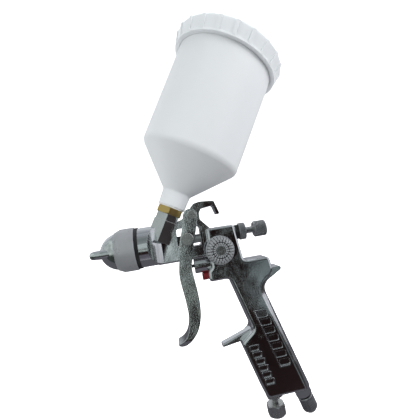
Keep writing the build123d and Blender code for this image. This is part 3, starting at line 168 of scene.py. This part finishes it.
def lathe(name, place, outline, around=96, relief=None, closed=True, sharp=40.0):
    """Surface of revolution: point(a, s) = origin + w * along(s) + radius(s) * (u cos a + v sin a).

    outline is an array of (along, radius) in mm; relief(a, along, radius), if given, gives both anew, and
    how far each point is raised.
    """
    origin, u, v, w = place
    a = np.linspace(0, 2 * pi, around, endpoint=False)[:, None]
    a, along, radius = np.broadcast_arrays(a, outline[None, :, 0], outline[None, :, 1])
    raised = np.ones_like(radius)
    if relief is not None:
        along, radius, raised = relief(a, along, radius)
    ring = np.cos(a)[..., None] * u + np.sin(a)[..., None] * v
    points = origin + MM * (along[..., None] * w + radius[..., None] * ring)
    faces = grid_faces(around, outline.shape[0], True, closed)
    return mesh_object(name, points.reshape(-1, 3), faces, sharp, raised)


def diamond_knurl(low, high, count, pitch, depth):
    """Relief of two crossed helical groove sets: ridge(a, s) is the lesser of |sin(n a / 2 + k s)| and
    |sin(n a / 2 - k s)|, flattened at its crests and faded out at both ends."""
    fade, flat = 0.3, 1.8

    def relief(a, along, radius):
        k = pi / pitch
        one_way = np.abs(np.sin(count * a / 2 + k * along))
        other_way = np.abs(np.sin(count * a / 2 - k * along))
        inside = np.clip((along - low) / fade, 0, 1) * np.clip((high - along) / fade, 0, 1)
        groove = inside * (1 - np.minimum(1, np.minimum(one_way, other_way) * flat))
        return along, radius - depth * groove, 1 - groove

    return relief


def polished_copy(node, name, sharp=32.0):
    """A CAD node's own surface with its triangles joined, so that it shades smoothly."""
    source = frame["nodes"][node]
    mesh = source.data.copy()
    mesh.name = name
    tidy = bmesh.new()
    tidy.from_mesh(mesh)
    bmesh.ops.remove_doubles(tidy, verts=tidy.verts, dist=2e-6)
    tidy.to_mesh(mesh)
    tidy.free()
    if "custom_normal" in mesh.attributes:
        mesh.attributes.remove(mesh.attributes["custom_normal"])
    mark_raised(mesh)
    mesh.shade_smooth()
    mesh.set_sharp_from_angle(angle=radians(sharp))
    made = bpy.data.objects.new(name, mesh)
    bpy.context.scene.collection.objects.link(made)
    even = made.modifiers.new("even_faces", "WEIGHTED_NORMAL")
    even.keep_sharp = True
    return made


# ==== finishes =======================================================================================
def new_group(name, inputs, outputs):
    """Shader node group with float inputs {name: default} and outputs {name: socket type}."""
    group = bpy.data.node_groups.new(name, "ShaderNodeTree")
    for label, value in inputs.items():
        socket = group.interface.new_socket(label, in_out="INPUT", socket_type="NodeSocketFloat")
        socket.default_value = value
    for label, kind in outputs.items():
        group.interface.new_socket(label, in_out="OUTPUT", socket_type=kind)
    return group, group.nodes.new("NodeGroupInput"), group.nodes.new("NodeGroupOutput")


def node(tree, kind, **settings):
    """New node with its properties set; keys that start with in_ set an input's default value."""
    made = tree.nodes.new(kind)
    for key, value in settings.items():
        if key.startswith("in_"):
            made.inputs[key[3:].replace("_", " ")].default_value = value
        else:
            setattr(made, key, value)
    return made


def maths(tree, operation, a, b=None, clamp=False):
    """Math node on sockets or numbers; gives its output socket."""
    made = tree.nodes.new("ShaderNodeMath")
    made.operation = operation
    made.use_clamp = clamp
    for slot, value in ((0, a), (1, b)):
        if value is None:
            continue
        if isinstance(value, (int, float)):
            made.inputs[slot].default_value = value
        else:
            tree.links.new(value, made.inputs[slot])
    return made.outputs[0]


def spread(tree, value, low, high, to_low=0.0, to_high=1.0):
    """Map Range from low..high to to_low..to_high, clamped and smooth."""
    made = tree.nodes.new("ShaderNodeMapRange")
    made.interpolation_type = "SMOOTHSTEP"
    tree.links.new(value, made.inputs["Value"])
    for label, number in (("From Min", low), ("From Max", high), ("To Min", to_low), ("To Max", to_high)):
        made.inputs[label].default_value = number
    return made.outputs["Result"]


def noise(tree, vector, scale, detail=3.0, roughness=0.55, stretch=None):
    """Noise texture on a vector socket, optionally stretched by a scale per axis."""
    if stretch:
        mapping = node(tree, "ShaderNodeMapping", in_Scale=stretch)
        tree.links.new(vector, mapping.inputs["Vector"])
        vector = mapping.outputs["Vector"]
    made = node(tree, "ShaderNodeTexNoise", in_Detail=detail, in_Roughness=roughness)
    if isinstance(scale, (int, float)):
        made.inputs["Scale"].default_value = scale
    else:
        tree.links.new(scale, made.inputs["Scale"])
    tree.links.new(vector, made.inputs["Vector"])
    return made.outputs["Fac"]


def build_smudges():
    """Handling marks: broad cloudy smears with small spots, 0 clean to 1 marked."""
    group, start, end = new_group("handling_marks", {"Scale": 60.0, "Spots": 0.3},
                                  {"Mask": "NodeSocketFloat"})
    place = group.nodes.new("ShaderNodeTexCoord").outputs["Object"]
    broad = spread(group, noise(group, place, start.outputs["Scale"], 4.0, 0.6), 0.42, 0.72)
    spots = spread(group, noise(group, place, 620.0, 2.0), 0.62, 0.78)
    spots = maths(group, "MULTIPLY", spots, start.outputs["Spots"])
    group.links.new(maths(group, "MAXIMUM", broad, spots), end.inputs["Mask"])
    return group


def build_scratches():
    """Hairline scratches in two directions, 0 none to 1 a scratch."""
    group, start, end = new_group("hairlines", {"Density": 0.5}, {"Mask": "NodeSocketFloat"})
    place = group.nodes.new("ShaderNodeTexCoord").outputs["Object"]
    lines = []
    for stretch in ((40.0, 260.0, 2200.0), (1900.0, 300.0, 90.0)):
        field = noise(group, place, 1.0, 2.0, 0.5, stretch)
        near = maths(group, "ABSOLUTE", maths(group, "SUBTRACT", field, 0.5))
        lines.append(spread(group, near, 0.0, 0.012, 1.0, 0.0))
    both = maths(group, "MAXIMUM", lines[0], lines[1])
    patch = spread(group, noise(group, place, 45.0, 2.0), 0.45, 0.7)
    both = maths(group, "MULTIPLY", maths(group, "MULTIPLY", both, patch), start.outputs["Density"])
    group.links.new(both, end.inputs["Mask"])
    return group


def build_cast_skin():
    """Slight waviness of a hand-buffed casting, as a height."""
    group, start, end = new_group("buffed_waves", {"Waves": 40.0}, {"Height": "NodeSocketFloat"})
    place = group.nodes.new("ShaderNodeTexCoord").outputs["Object"]
    broad = noise(group, place, start.outputs["Waves"], 2.0, 0.4)
    fine = maths(group, "MULTIPLY", noise(group, place, 900.0, 2.0), 0.03)
    group.links.new(maths(group, "ADD", broad, fine), end.inputs["Height"])
    return group


def build_recesses():
    """Painted shade for inside corners, from the surface's pointiness: 0 open to 1 deep."""
    group, start, end = new_group("recesses", {"Recess": 0.46}, {"Recess": "NodeSocketFloat"})
    sharp = group.nodes.new("ShaderNodeNewGeometry").outputs["Pointiness"]
    below = maths(group, "SUBTRACT", start.outputs["Recess"], sharp, True)
    group.links.new(maths(group, "MULTIPLY", below, 10.0, True), end.inputs["Recess"])
    return group


def build_soft_edges():
    """Slightly rounded look for sharp edges: the rounded normal, and a mask of where it differs."""
    group, start, end = new_group("soft_edges", {"Radius": 0.0004},
                                  {"Normal": "NodeSocketVector", "Mask": "NodeSocketFloat"})
    bevel = group.nodes.new("ShaderNodeBevel")
    bevel.samples = 4
    group.links.new(start.outputs["Radius"], bevel.inputs["Radius"])
    flat = group.nodes.new("ShaderNodeNewGeometry").outputs["Normal"]
    both = node(group, "ShaderNodeVectorMath", operation="DOT_PRODUCT")
    group.links.new(bevel.outputs["Normal"], both.inputs[0])
    group.links.new(flat, both.inputs[1])
    away = maths(group, "SUBTRACT", 1.0, both.outputs["Value"], True)
    place = group.nodes.new("ShaderNodeTexCoord").outputs["Object"]
    broken = spread(group, noise(group, place, 350.0, 3.0), 0.3, 0.6, 0.35, 1.0)
    edge = maths(group, "MULTIPLY", away, 8.0, True)
    group.links.new(maths(group, "MULTIPLY", edge, broken), end.inputs["Mask"])
    group.links.new(bevel.outputs["Normal"], end.inputs["Normal"])
    return group


smudges = build_smudges()
scratches = build_scratches()
cast_skin = build_cast_skin()
recesses = build_recesses()
soft_edges = build_soft_edges()


def groove_shade(tree, colour, share):
    """A colour socket with painted shade in knurl grooves, where the raised attribute is low."""
    level = node(tree, "ShaderNodeAttribute", attribute_name="raised").outputs["Fac"]
    deep = node(tree, "ShaderNodeMix", data_type="RGBA", blend_type="MULTIPLY")
    tree.links.new(spread(tree, level, 0.75, 0.25), deep.inputs[0])
    tree.links.new(colour, deep.inputs[6])
    deep.inputs[7].default_value = (share, share, share, 1.0)
    return deep.outputs[2]


def ramp(tree, value, stops):
    """A colour socket that runs through (place, colour) stops, the first at 0 and the last at 1."""
    made = node(tree, "ShaderNodeValToRGB")
    tree.links.new(value, made.inputs[0])
    points = made.color_ramp.elements
    points[0].color = (*stops[0][1], 1.0)
    points[-1].color = (*stops[-1][1], 1.0)
    for place, colour in stops[1:-1]:
        points.new(place).color = (*colour, 1.0)
    return made.outputs["Color"]


def use(tree, group, **values):
    """Place a node group in a material with its own values."""
    made = tree.nodes.new("ShaderNodeGroup")
    made.node_tree = group
    for key, value in values.items():
        made.inputs[key].default_value = value
    return made


def mix_colour(tree, factor, a, b):
    """Mix of two colours (tuples or sockets) by a factor socket."""
    made = node(tree, "ShaderNodeMix", data_type="RGBA")
    tree.links.new(factor, made.inputs[0])
    for slot, value in ((6, a), (7, b)):
        if isinstance(value, tuple):
            made.inputs[slot].default_value = (*value, 1.0)
        else:
            tree.links.new(value, made.inputs[slot])
    return made.outputs[2]


def new_material(name, **settings):
    """Material with a Principled shader whose constant values are set on its own sockets."""
    made = bpy.data.materials.new(name)
    made.use_nodes = True
    shader = made.node_tree.nodes["Principled BSDF"]
    for key, value in settings.items():
        shader.inputs[key.replace("_", " ")].default_value = value
    return made, made.node_tree, shader


def raise_bump(tree, shader, height, strength, distance, normal=None):
    """Bump from a height socket onto the shader's normal, over a rounded normal if one is given."""
    bump = node(tree, "ShaderNodeBump", in_Strength=strength, in_Distance=distance)
    tree.links.new(height, bump.inputs["Height"])
    if normal is not None:
        tree.links.new(normal, bump.inputs["Normal"])
    tree.links.new(bump.outputs["Normal"], shader.inputs["Normal"])


def smudged(tree, mark, rough, added):
    """Roughness socket that rises by `added` where the surface is marked."""
    made = maths(tree, "MULTIPLY_ADD", mark, added)
    made.node.inputs[2].default_value = rough
    return made


def plated(name, colour, worn, rough, marks, wave_scale, wave_depth, hair=0.5, edge_radius=0.0004):
    """Plated metal: painted shade in recesses, worn edges, smudged roughness, hairlines and buffing waves.
    """
    made, tree, shader = new_material(name, Metallic=1.0)
    mark = use(tree, smudges, Scale=marks, Spots=0.25).outputs["Mask"]
    line = use(tree, scratches, Density=hair).outputs["Mask"]
    soft = use(tree, soft_edges, Radius=edge_radius)
    deep = use(tree, recesses).outputs["Recess"]
    # painted shade: the base colour falls to 35% in inside corners
    recess_shaded = mix_colour(tree, deep, colour, tuple(c * 0.35 for c in colour))
    shade = mix_colour(tree, soft.outputs["Mask"], recess_shaded, worn)
    faded = tuple(c * 0.86 for c in colour)
    shade = mix_colour(tree, maths(tree, "MULTIPLY", mark, 0.25), shade, faded)
    tree.links.new(shade, shader.inputs["Base Color"])
    haze = smudged(tree, mark, rough, rough * 0.9)
    haze = maths(tree, "ADD", haze, maths(tree, "MULTIPLY", line, 0.18))
    tree.links.new(haze, shader.inputs["Roughness"])
    skin = use(tree, cast_skin, Waves=wave_scale).outputs["Height"]
    height = maths(tree, "SUBTRACT", skin, maths(tree, "MULTIPLY", line, 0.02))
    raise_bump(tree, shader, height, 0.35, wave_depth, soft.outputs["Normal"])
    return made


def turned_metal(name, colour, rough):
    """Turned metal: fine tool rings across the spray axis, smudges, painted shade in recesses and in knurl
    grooves.
    """
    made, tree, shader = new_material(name, Metallic=1.0)
    place = tree.nodes.new("ShaderNodeTexCoord").outputs["Object"]
    rings = noise(tree, place, 1.0, 2.0, 0.5, (1400.0, 30.0, 30.0))
    mark = use(tree, smudges, Scale=90.0, Spots=0.5).outputs["Mask"]
    soft = use(tree, soft_edges, Radius=0.00025)
    deep = use(tree, recesses).outputs["Recess"]
    # painted shade: the base colour falls to 30% in inside corners
    recess_shaded = mix_colour(tree, deep, colour, tuple(c * 0.3 for c in colour))
    bright = tuple(min(1.0, c * 1.5 + 0.1) for c in colour)
    # painted shade: knurl grooves darkened to 12%
    shade = groove_shade(tree, mix_colour(tree, soft.outputs["Mask"], recess_shaded, bright), 0.12)
    tree.links.new(shade, shader.inputs["Base Color"])
    haze = smudged(tree, mark, rough, rough * 0.6)
    haze = maths(tree, "ADD", haze, maths(tree, "MULTIPLY", rings, 0.08))
    tree.links.new(haze, shader.inputs["Roughness"])
    raise_bump(tree, shader, rings, 0.25, 0.00006, soft.outputs["Normal"])
    return made


def blasted(name, colour, rough):
    """Bead-blasted and anodised: fine grain, soft handling marks, painted shade in grooves and lighter worn
    edges.
    """
    made, tree, shader = new_material(name, Metallic=0.35)
    place = tree.nodes.new("ShaderNodeTexCoord").outputs["Object"]
    grain = noise(tree, place, 2600.0, 3.0, 0.6)
    mark = use(tree, smudges, Scale=70.0, Spots=0.2).outputs["Mask"]
    soft = use(tree, soft_edges, Radius=0.0003)
    lighter = tuple(min(1.0, c * 1.7) for c in colour)
    base = mix_colour(tree, grain, tuple(c * 0.82 for c in colour), tuple(c * 1.15 for c in colour))
    base = mix_colour(tree, maths(tree, "MULTIPLY", mark, 0.35), base, tuple(c * 0.8 for c in colour))
    # painted shade: grooves darkened to 8%
    shade = groove_shade(tree, mix_colour(tree, soft.outputs["Mask"], base, lighter), 0.08)
    tree.links.new(shade, shader.inputs["Base Color"])
    tree.links.new(smudged(tree, mark, rough, -0.12), shader.inputs["Roughness"])
    raise_bump(tree, shader, grain, 0.3, 0.00005, soft.outputs["Normal"])
    return made


def moulded(name, colour, rough, cloud, through=0.0, ring_way=None):
    """Moulded plastic: faint clouding, mould rings, fine scuffs; some light passes through where asked."""
    made, tree, shader = new_material(name, IOR=1.5, Subsurface_Weight=through, Subsurface_Scale=0.006)
    shader.inputs["Subsurface Radius"].default_value = (1.0, 1.0, 1.0)
    place = tree.nodes.new("ShaderNodeTexCoord").outputs["Object"]
    tint = noise(tree, place, 35.0, 3.0, 0.6)
    mark = use(tree, smudges, Scale=80.0, Spots=0.4).outputs["Mask"]
    line = use(tree, scratches, Density=0.6).outputs["Mask"]
    tree.links.new(mix_colour(tree, tint, colour, cloud), shader.inputs["Base Color"])
    haze = smudged(tree, mark, rough, 0.14)
    tree.links.new(maths(tree, "ADD", haze, maths(tree, "MULTIPLY", line, 0.2)), shader.inputs["Roughness"])
    height = noise(tree, place, 1300.0, 2.0)
    if ring_way is not None:
        along = node(tree, "ShaderNodeVectorMath", operation="DOT_PRODUCT")
        along.inputs[1].default_value = tuple(ring_way)
        tree.links.new(place, along.inputs[0])
        rings = maths(tree, "SINE", maths(tree, "MULTIPLY", along.outputs["Value"], 4200.0))
        height = maths(tree, "ADD", height, maths(tree, "MULTIPLY", rings, 0.5))
    raise_bump(tree, shader, height, 0.12, 0.00006)
    return made


def rubbery(name, colour):
    """Matte rubber with fine grain and a little bloom."""
    made, tree, shader = new_material(name, Specular_IOR_Level=0.35)
    place = tree.nodes.new("ShaderNodeTexCoord").outputs["Object"]
    grain = noise(tree, place, 1500.0, 3.0)
    bloom = use(tree, smudges, Scale=120.0, Spots=0.3).outputs["Mask"]
    pale = tuple(c + 0.05 for c in colour)
    shade = mix_colour(tree, maths(tree, "MULTIPLY", bloom, 0.3), colour, pale)
    tree.links.new(shade, shader.inputs["Base Color"])
    tree.links.new(spread(tree, grain, 0.3, 0.7, 0.5, 0.72), shader.inputs["Roughness"])
    raise_bump(tree, shader, grain, 0.3, 0.00005)
    return made


finish = {
    "chrome_casting": plated("chrome_casting", (0.80, 0.81, 0.82), (0.92, 0.93, 0.94), 0.05, 45.0, 26.0,
                             0.003),
    "satin_chrome": plated("satin_chrome", (0.74, 0.77, 0.76), (0.90, 0.92, 0.91), 0.06, 55.0, 24.0, 0.010,
                           0.7, 0.0011),
    "polished_chrome": plated("polished_chrome", (0.80, 0.82, 0.82), (0.95, 0.95, 0.95), 0.10, 70.0, 40.0,
                              0.0008),
    "plated_steel": turned_metal("plated_steel", (0.62, 0.62, 0.60), 0.2),
    "grey_anodised": blasted("grey_anodised", (0.35, 0.36, 0.375), 0.36),
    "dark_plated": turned_metal("dark_plated", (0.50, 0.50, 0.51), 0.22),
    "stainless": turned_metal("stainless", (0.66, 0.66, 0.66), 0.22),
    "brass": turned_metal("brass", (0.78, 0.55, 0.20), 0.26),
    "black_rubber": rubbery("black_rubber", (0.012, 0.012, 0.013)),
    "white_seal": moulded("white_seal", (0.84, 0.84, 0.80), 0.45, (0.74, 0.73, 0.68)),
    "cup_plastic": moulded("cup_plastic", (0.80, 0.82, 0.84), 0.38, (0.76, 0.78, 0.80), 0.25, cup_way),
    "lid_plastic": moulded("lid_plastic", (0.87, 0.89, 0.91), 0.40, (0.75, 0.78, 0.80), 0.25),
    "strainer_plastic": moulded("strainer_plastic", (0.82, 0.86, 0.80), 0.5, (0.72, 0.77, 0.70)),
    "red_plastic": moulded("red_plastic", (0.32, 0.03, 0.035), 0.3, (0.22, 0.02, 0.025)),
}


def dress(piece, slot):
    """Put a slot's finish on a piece and name the slot."""
    piece.data.materials.clear()
    piece.data.materials.append(finish[slot])
    return piece


def stand_in(piece, nodes, slot):
    """A made piece takes the place of CAD nodes on one body, in a slot's finish."""
    body = frame["nodes"][nodes[0]]["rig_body"]
    dress(piece, slot)
    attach(piece, body)
    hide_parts(*nodes)
    return piece


# ==== pieces =========================================================================================
members_of = {
    "chrome_casting": ["gun_body"],
    "satin_chrome": ["trigger"],
    "polished_chrome": ["air_cap"],
    "plated_steel": ["pivot_screw", "pivot_nut", "needle_catch_screws", "inlet_swivel_nut",
                     "inlet_tailpiece", "dial_screw", "needle_guide", "needle_packing_gland",
                     "air_valve_gland"],
    "grey_anodised": ["air_cap_retaining_ring", "pattern_dial"],
    "dark_plated": ["fluid_knob", "locknut", "regulator_knob", "regulator_gland"],
    "stainless": ["fluid_nozzle", "fluid_needle", "needle_sleeve", "air_valve_stem", "needle_spring",
                  "air_valve_spring", "dial_spindle", "regulator_spindle"],
    "brass": ["cup_connector", "air_valve_disc", "air_valve_seat", "dial_gland", "air_baffle"],
    "black_rubber": ["barrel_seal_band", "dial_seal_ring", "regulator_seal_ring", "inlet_seal_washer"],
    "white_seal": ["needle_packing", "air_valve_packing", "nozzle_gasket", "cup_gasket"],
    "cup_plastic": ["paint_cup"],
    "lid_plastic": ["cup_lid", "lid_vent_plug"],
    "strainer_plastic": ["cup_strainer"],
    "red_plastic": ["gallery_plug"],
}
slots = {member: slot_name for slot_name, members in members_of.items() for member in members}
for name, slot_name in slots.items():
    dress(frame["nodes"][name], slot_name)

joined = ["gun_body", "trigger", "air_cap", "fluid_nozzle", "cup_connector", "inlet_swivel_nut",
          "inlet_tailpiece", "pivot_screw", "pivot_nut", "needle_catch_screws", "air_cap_retaining_ring",
          "barrel_seal_band", "paint_cup", "cup_lid", "needle_sleeve", "dial_screw"]
for name in joined:
    stand_in(polished_copy(name, "fine_" + name), [name], slots[name])


FINE = 0.22           # longest outline run of a knurled piece, mm
KNURL_CREASE = 50.0   # angle over which a knurled piece's edges stay crisp, degrees


def add_fluid_knob(spray):
    """Fluid knob: a plain stem and a knurled head, from `start` to `end` along the spray axis."""
    start, neck, end = 67.0, 91.5, 103.4
    stem, head, chamfer = 3.1, 7.5, 0.9
    outline = rounded([(start, 1.6), (start, stem), (neck, stem), (neck, head - 1.0, 0.2),
                       (neck + chamfer, head, 0.25), (end - chamfer, head, 0.25),
                       (end, head - chamfer, 0.2), (end, 0.02)])
    knurl = diamond_knurl(neck + 0.8, end - 0.8, 26, 2.6, 0.5)
    piece = lathe("knurled_fluid_knob", spray, split_long(outline, FINE), 280, knurl, False, KNURL_CREASE)
    stand_in(piece, ["fluid_knob"], "dark_plated")


def add_locknut(spray):
    """Locknut: a knurled ring with a bevel at each face."""
    start, end, bore, radius, bevel = 77.1, 83.4, 3.2, 8.0, 0.6
    outline = rounded([(start, bore), (start, radius - bevel, 0.15), (start + bevel, radius, 0.2),
                       (end - bevel, radius, 0.2), (end, radius - bevel, 0.15), (end, bore)], True)
    outline = split_long(np.vstack([outline, outline[:1]]), FINE)[:-1]
    knurl = diamond_knurl(start + 0.5, end - 0.5, 28, 2.6, 0.5)
    piece = lathe("knurled_locknut", spray, outline, 280, knurl, True, KNURL_CREASE)
    stand_in(piece, ["locknut"], "dark_plated")


def add_regulator_knob():
    """Regulator knob at the heel of the grip: a knurled side and a domed end."""
    heel, down = axis_of("regulator_turn")
    start, end, bore, radius, bevel, dome = 10.5, 25.5, 2.7, 7.1, 0.6, 3.0
    outline = rounded([(start, bore), (start, radius - bevel, 0.2), (start + bevel, radius, 0.2),
                       (end - dome, radius, 2.8), (end, 4.4, 1.2), (end, 0.02)])
    knurl = diamond_knurl(start + 1.1, end - 3.7, 30, 2.2, 0.3)
    place = frame_on(heel, down)
    outline = split_long(outline, FINE)
    piece = lathe("knurled_regulator_knob", place, outline, 260, knurl, False, KNURL_CREASE)
    stand_in(piece, ["regulator_knob"], "dark_plated")


def add_dial():
    """Pattern dial: a milled rim, and a face with rings of small pyramids inside a fluted brim.

    pyramid(a, r) = |sin(n a) sin(pi (r - hub) / row)| and flute(a) = |sin(m a)|, both with flat crests.
    """
    low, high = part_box("pattern_dial")
    point, way = axis_of("pattern_dial_turn")
    radius = (high.x - low.x) / 2 / MM
    start, top = -high.y / MM, -low.y / MM
    step, face = start + 4.4, radius - 1.3
    brim = face - 2.2
    hub, row = 4.7, 2.35
    place = frame_on((point[0], 0.0, point[2]), way, (1.0, 0.0, 0.0))
    outline = rounded([(start, 6.0), (start, radius - 0.2, 0.2), (step, radius, 0.5),
                       (step + 0.1, face, 0.1), (top - 1.3, face, 0.3), (top - 0.2, brim, 0.2),
                       (top, 4.4, 0.2), (top - 1.4, 4.1), (top - 1.4, 0.5)])

    def relief(a, along, r):
        on_face = np.clip((r - hub) / 0.3, 0, 1) * np.clip((brim - r) / 0.3, 0, 1) * (along > top - 1.35)
        pyramid = np.abs(np.sin(10 * a) * np.sin(pi * (r - hub) / row))
        groove = on_face * (1 - np.minimum(1, 1.3 * pyramid))
        on_brim = np.clip((r - brim) / 0.4, 0, 1) * (along > step)
        on_rim = np.clip((along - start - 0.2) / 0.3, 0, 1) * np.clip((step - 0.2 - along) / 0.3, 0, 1)
        flute = np.abs(np.sin(13 * a))
        notch = np.maximum(on_brim, on_rim * (r > radius - 1)) * (1 - np.minimum(1, 1.5 * flute))
        return along - 0.5 * groove, r - 0.6 * notch, 1 - np.maximum(groove, notch)

    piece = lathe("milled_pattern_dial", place, split_long(outline, 0.25), 384, relief, False, KNURL_CREASE)
    stand_in(piece, ["pattern_dial"], "grey_anodised")


def add_springs():
    """Coil springs as smoothly shaded copies of their CAD nodes, each with a mesh of its own."""
    for node_name, slide in (("needle_spring", "needle_slide"), ("air_valve_spring", "valve_slide")):
        piece = polished_copy(node_name, "wound_" + node_name)
        stand_in(piece, [node_name], slots[node_name])
        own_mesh(piece)


spray_axis = frame_on(head_point, (1.0, 0.0, 0.0))
add_fluid_knob(spray_axis)
add_locknut(spray_axis)
add_regulator_knob()
add_dial()
add_springs()


# ==== camera, light and room ========================================================================
def aim(made, place, way, up):
    """Turn an object at a place so that it looks along a direction."""
    back = -Vector(way).normalized()
    right = Vector(up).cross(back).normalized()
    top = back.cross(right)
    turn = Matrix((right, top, back)).transposed().to_4x4()
    made.matrix_world = Matrix.Translation(Vector(place)) @ turn
    return made


def add_camera():
    """Camera in front of the dial side, at about half the height, looking slightly up."""
    data = bpy.data.cameras.new("camera")
    data.lens = 25.65
    data.sensor_width = 36.0
    data.clip_start = 0.01
    made = bpy.data.objects.new("camera", data)
    bpy.context.scene.collection.objects.link(made)
    aim(made, (-0.0629, -0.2805, 0.1809), (0.112, 0.9924, 0.0513), (0.1539, -0.0684, 0.9857))
    bpy.context.scene.camera = made


def add_panel(name, place, height, size, power):
    """Soft rectangular light facing a point over the middle of the floor, and not mirrored in metal."""
    data = bpy.data.lights.new(name, "AREA")
    data.shape = "RECTANGLE"
    data.size, data.size_y = size
    data.energy = power
    made = bpy.data.objects.new(name, data)
    bpy.context.scene.collection.objects.link(made)
    overhead = place[2] - height > 0.7
    up = (0.0, 1.0, 0.0) if overhead else (0.0, 0.0, 1.0)
    aim(made, place, Vector((0.0, 0.0, height)) - Vector(place), up)
    made.visible_glossy = False


def add_room():
    """Pale paper floor that curves up into a wall: height(y) is flat, then a quarter circle, then straight.

    The camera sees it white, it bounces soft light, and metal mirrors it as a grey that depends on height.
    """
    front, bend, curve, top, level = -0.06, 0.9, 0.5, 2.6, -0.0068
    turn = np.linspace(0, pi / 2, 13)[1:]
    flat = np.linspace(front, bend, 8)
    y = np.concatenate([flat, bend + curve * np.sin(turn), [bend + curve]])
    z = np.concatenate([np.zeros(8), curve - curve * np.cos(turn), [top]]) + level
    x = np.linspace(-2.2, 2.2, 5)
    points = np.stack(np.broadcast_arrays(x[None, :], y[:, None], z[:, None]), -1).reshape(-1, 3)
    sheet = mesh_object("floor", points, grid_faces(len(y), len(x)), 60.0)
    made, tree, shader = new_material("paper", Roughness=0.9)
    shader.inputs["Emission Color"].default_value = (1.0, 1.0, 1.0, 1.0)
    shader.inputs["Emission Strength"].default_value = 0.9
    place = tree.nodes.new("ShaderNodeTexCoord").outputs["Object"]
    grain = noise(tree, place, 400.0, 3.0)
    tone = mix_colour(tree, grain, (0.90, 0.90, 0.90), (0.94, 0.94, 0.94))
    tree.links.new(tone, shader.inputs["Base Color"])
    parts = node(tree, "ShaderNodeSeparateXYZ")
    tree.links.new(place, parts.inputs[0])
    ray = tree.nodes.new("ShaderNodeLightPath")
    dim = node(tree, "ShaderNodeEmission", in_Strength=1.0)
    height = spread(tree, parts.outputs["Z"], 0.05, 0.6)
    mirrored = mix_colour(tree, height, (0.10, 0.10, 0.115), (0.55, 0.58, 0.62))
    unseen = mix_colour(tree, ray.outputs["Is Glossy Ray"], (0.97, 0.97, 0.98), mirrored)
    tree.links.new(unseen, dim.inputs["Color"])
    choice = tree.nodes.new("ShaderNodeMixShader")
    tree.links.new(ray.outputs["Is Camera Ray"], choice.inputs[0])
    tree.links.new(dim.outputs[0], choice.inputs[1])
    tree.links.new(shader.outputs[0], choice.inputs[2])
    tree.links.new(choice.outputs[0], tree.nodes["Material Output"].inputs["Surface"])
    sheet.data.materials.append(made)


def add_world():
    """Surroundings as metal mirrors them, zone by zone over a dark room; the camera sees them white."""
    world = bpy.data.worlds.new("studio")
    bpy.context.scene.world = world
    world.use_nodes = True
    tree = world.node_tree
    place = tree.nodes.new("ShaderNodeTexCoord").outputs["Generated"]
    parts = node(tree, "ShaderNodeSeparateXYZ")
    tree.links.new(place, parts.inputs[0])
    x, y, z = (parts.outputs[k] for k in "XYZ")
    column = ramp(tree, spread(tree, z, -0.40, 0.10), (
        (0.00, (0.52, 0.60, 0.58)), (0.24, (0.50, 0.57, 0.55)), (0.32, (0.26, 0.29, 0.28)),
        (0.38, (0.030, 0.022, 0.020)), (0.47, (0.026, 0.020, 0.018)), (0.52, (0.38, 0.44, 0.43)),
        (0.61, (0.38, 0.44, 0.43)), (0.65, (0.08, 0.09, 0.09)), (0.73, (0.09, 0.10, 0.10)),
        (0.80, (0.20, 0.23, 0.23)), (1.00, (0.26, 0.30, 0.29))))
    above = spread(tree, z, -0.42, -0.32)
    shade = mix_colour(tree, spread(tree, x, 0.065, 0.045), (0.018, 0.010, 0.010), column)
    front = maths(tree, "MULTIPLY", spread(tree, x, -0.008, -0.018), spread(tree, z, -0.15, -0.12))
    shade = mix_colour(tree, front, shade, (0.62, 0.70, 0.70))
    shade = mix_colour(tree, maths(tree, "SUBTRACT", 1.0, above), shade, (0.026, 0.016, 0.016))
    shade = mix_colour(tree, spread(tree, z, -0.60, -0.70), shade, (0.20, 0.19, 0.23))
    shade = mix_colour(tree, spread(tree, z, -0.88, -0.97), shade, (0.38, 0.38, 0.42))
    heel = maths(tree, "MULTIPLY", spread(tree, x, 0.195, 0.225), spread(tree, z, -0.30, -0.24))
    heel = maths(tree, "MULTIPLY", heel, spread(tree, z, -0.07, -0.11))
    shade = mix_colour(tree, heel, shade, (0.24, 0.29, 0.30))
    shade = mix_colour(tree, spread(tree, x, 0.34, 0.46), shade, (0.18, 0.22, 0.23))
    shade = mix_colour(tree, spread(tree, z, 0.30, 0.46), shade, (0.36, 0.41, 0.42))
    ahead = mix_colour(tree, spread(tree, z, -0.12, -0.24), (0.66, 0.73, 0.72), (0.04, 0.05, 0.045))
    shade = mix_colour(tree, spread(tree, x, -0.30, -0.42), shade, ahead)
    shade = mix_colour(tree, spread(tree, z, 0.80, 0.92), shade, (0.46, 0.50, 0.54))
    shade = mix_colour(tree, spread(tree, y, 0.10, 0.45), shade, (0.50, 0.53, 0.57))
    side = mix_colour(tree, spread(tree, z, -0.24, -0.12), (0.05, 0.045, 0.045), (0.84, 0.86, 0.92))
    shade = mix_colour(tree, spread(tree, x, 0.52, 0.62), shade, side)
    cloud = spread(tree, noise(tree, place, 3.2, 2.0), 0.35, 0.65, 0.55, 1.0)
    dark = node(tree, "ShaderNodeMix", data_type="RGBA", blend_type="MULTIPLY")
    dark.inputs[0].default_value = 1.0
    tree.links.new(shade, dark.inputs[6])
    grey = node(tree, "ShaderNodeCombineColor")
    for slot in range(3):
        tree.links.new(cloud, grey.inputs[slot])
    tree.links.new(grey.outputs[0], dark.inputs[7])
    ray = tree.nodes.new("ShaderNodeLightPath").outputs["Is Camera Ray"]
    seen = mix_colour(tree, ray, dark.outputs[2], (1.0, 1.0, 1.0))
    tree.links.new(seen, tree.nodes["Background"].inputs["Color"])
    tree.nodes["Background"].inputs["Strength"].default_value = 0.9


bpy.context.scene.view_settings.view_transform = "Standard"
add_camera()
add_room()
add_world()
add_panel("key_light", (0.75, -0.65, 0.55), 0.25, (0.9, 0.9), 9.6)
add_panel("fill_light", (-0.75, -0.65, 0.35), 0.25, (0.9, 0.9), 5.4)
add_panel("top_light", (0.1, 0.25, 1.05), 0.2, (0.8, 0.6), 5.0)
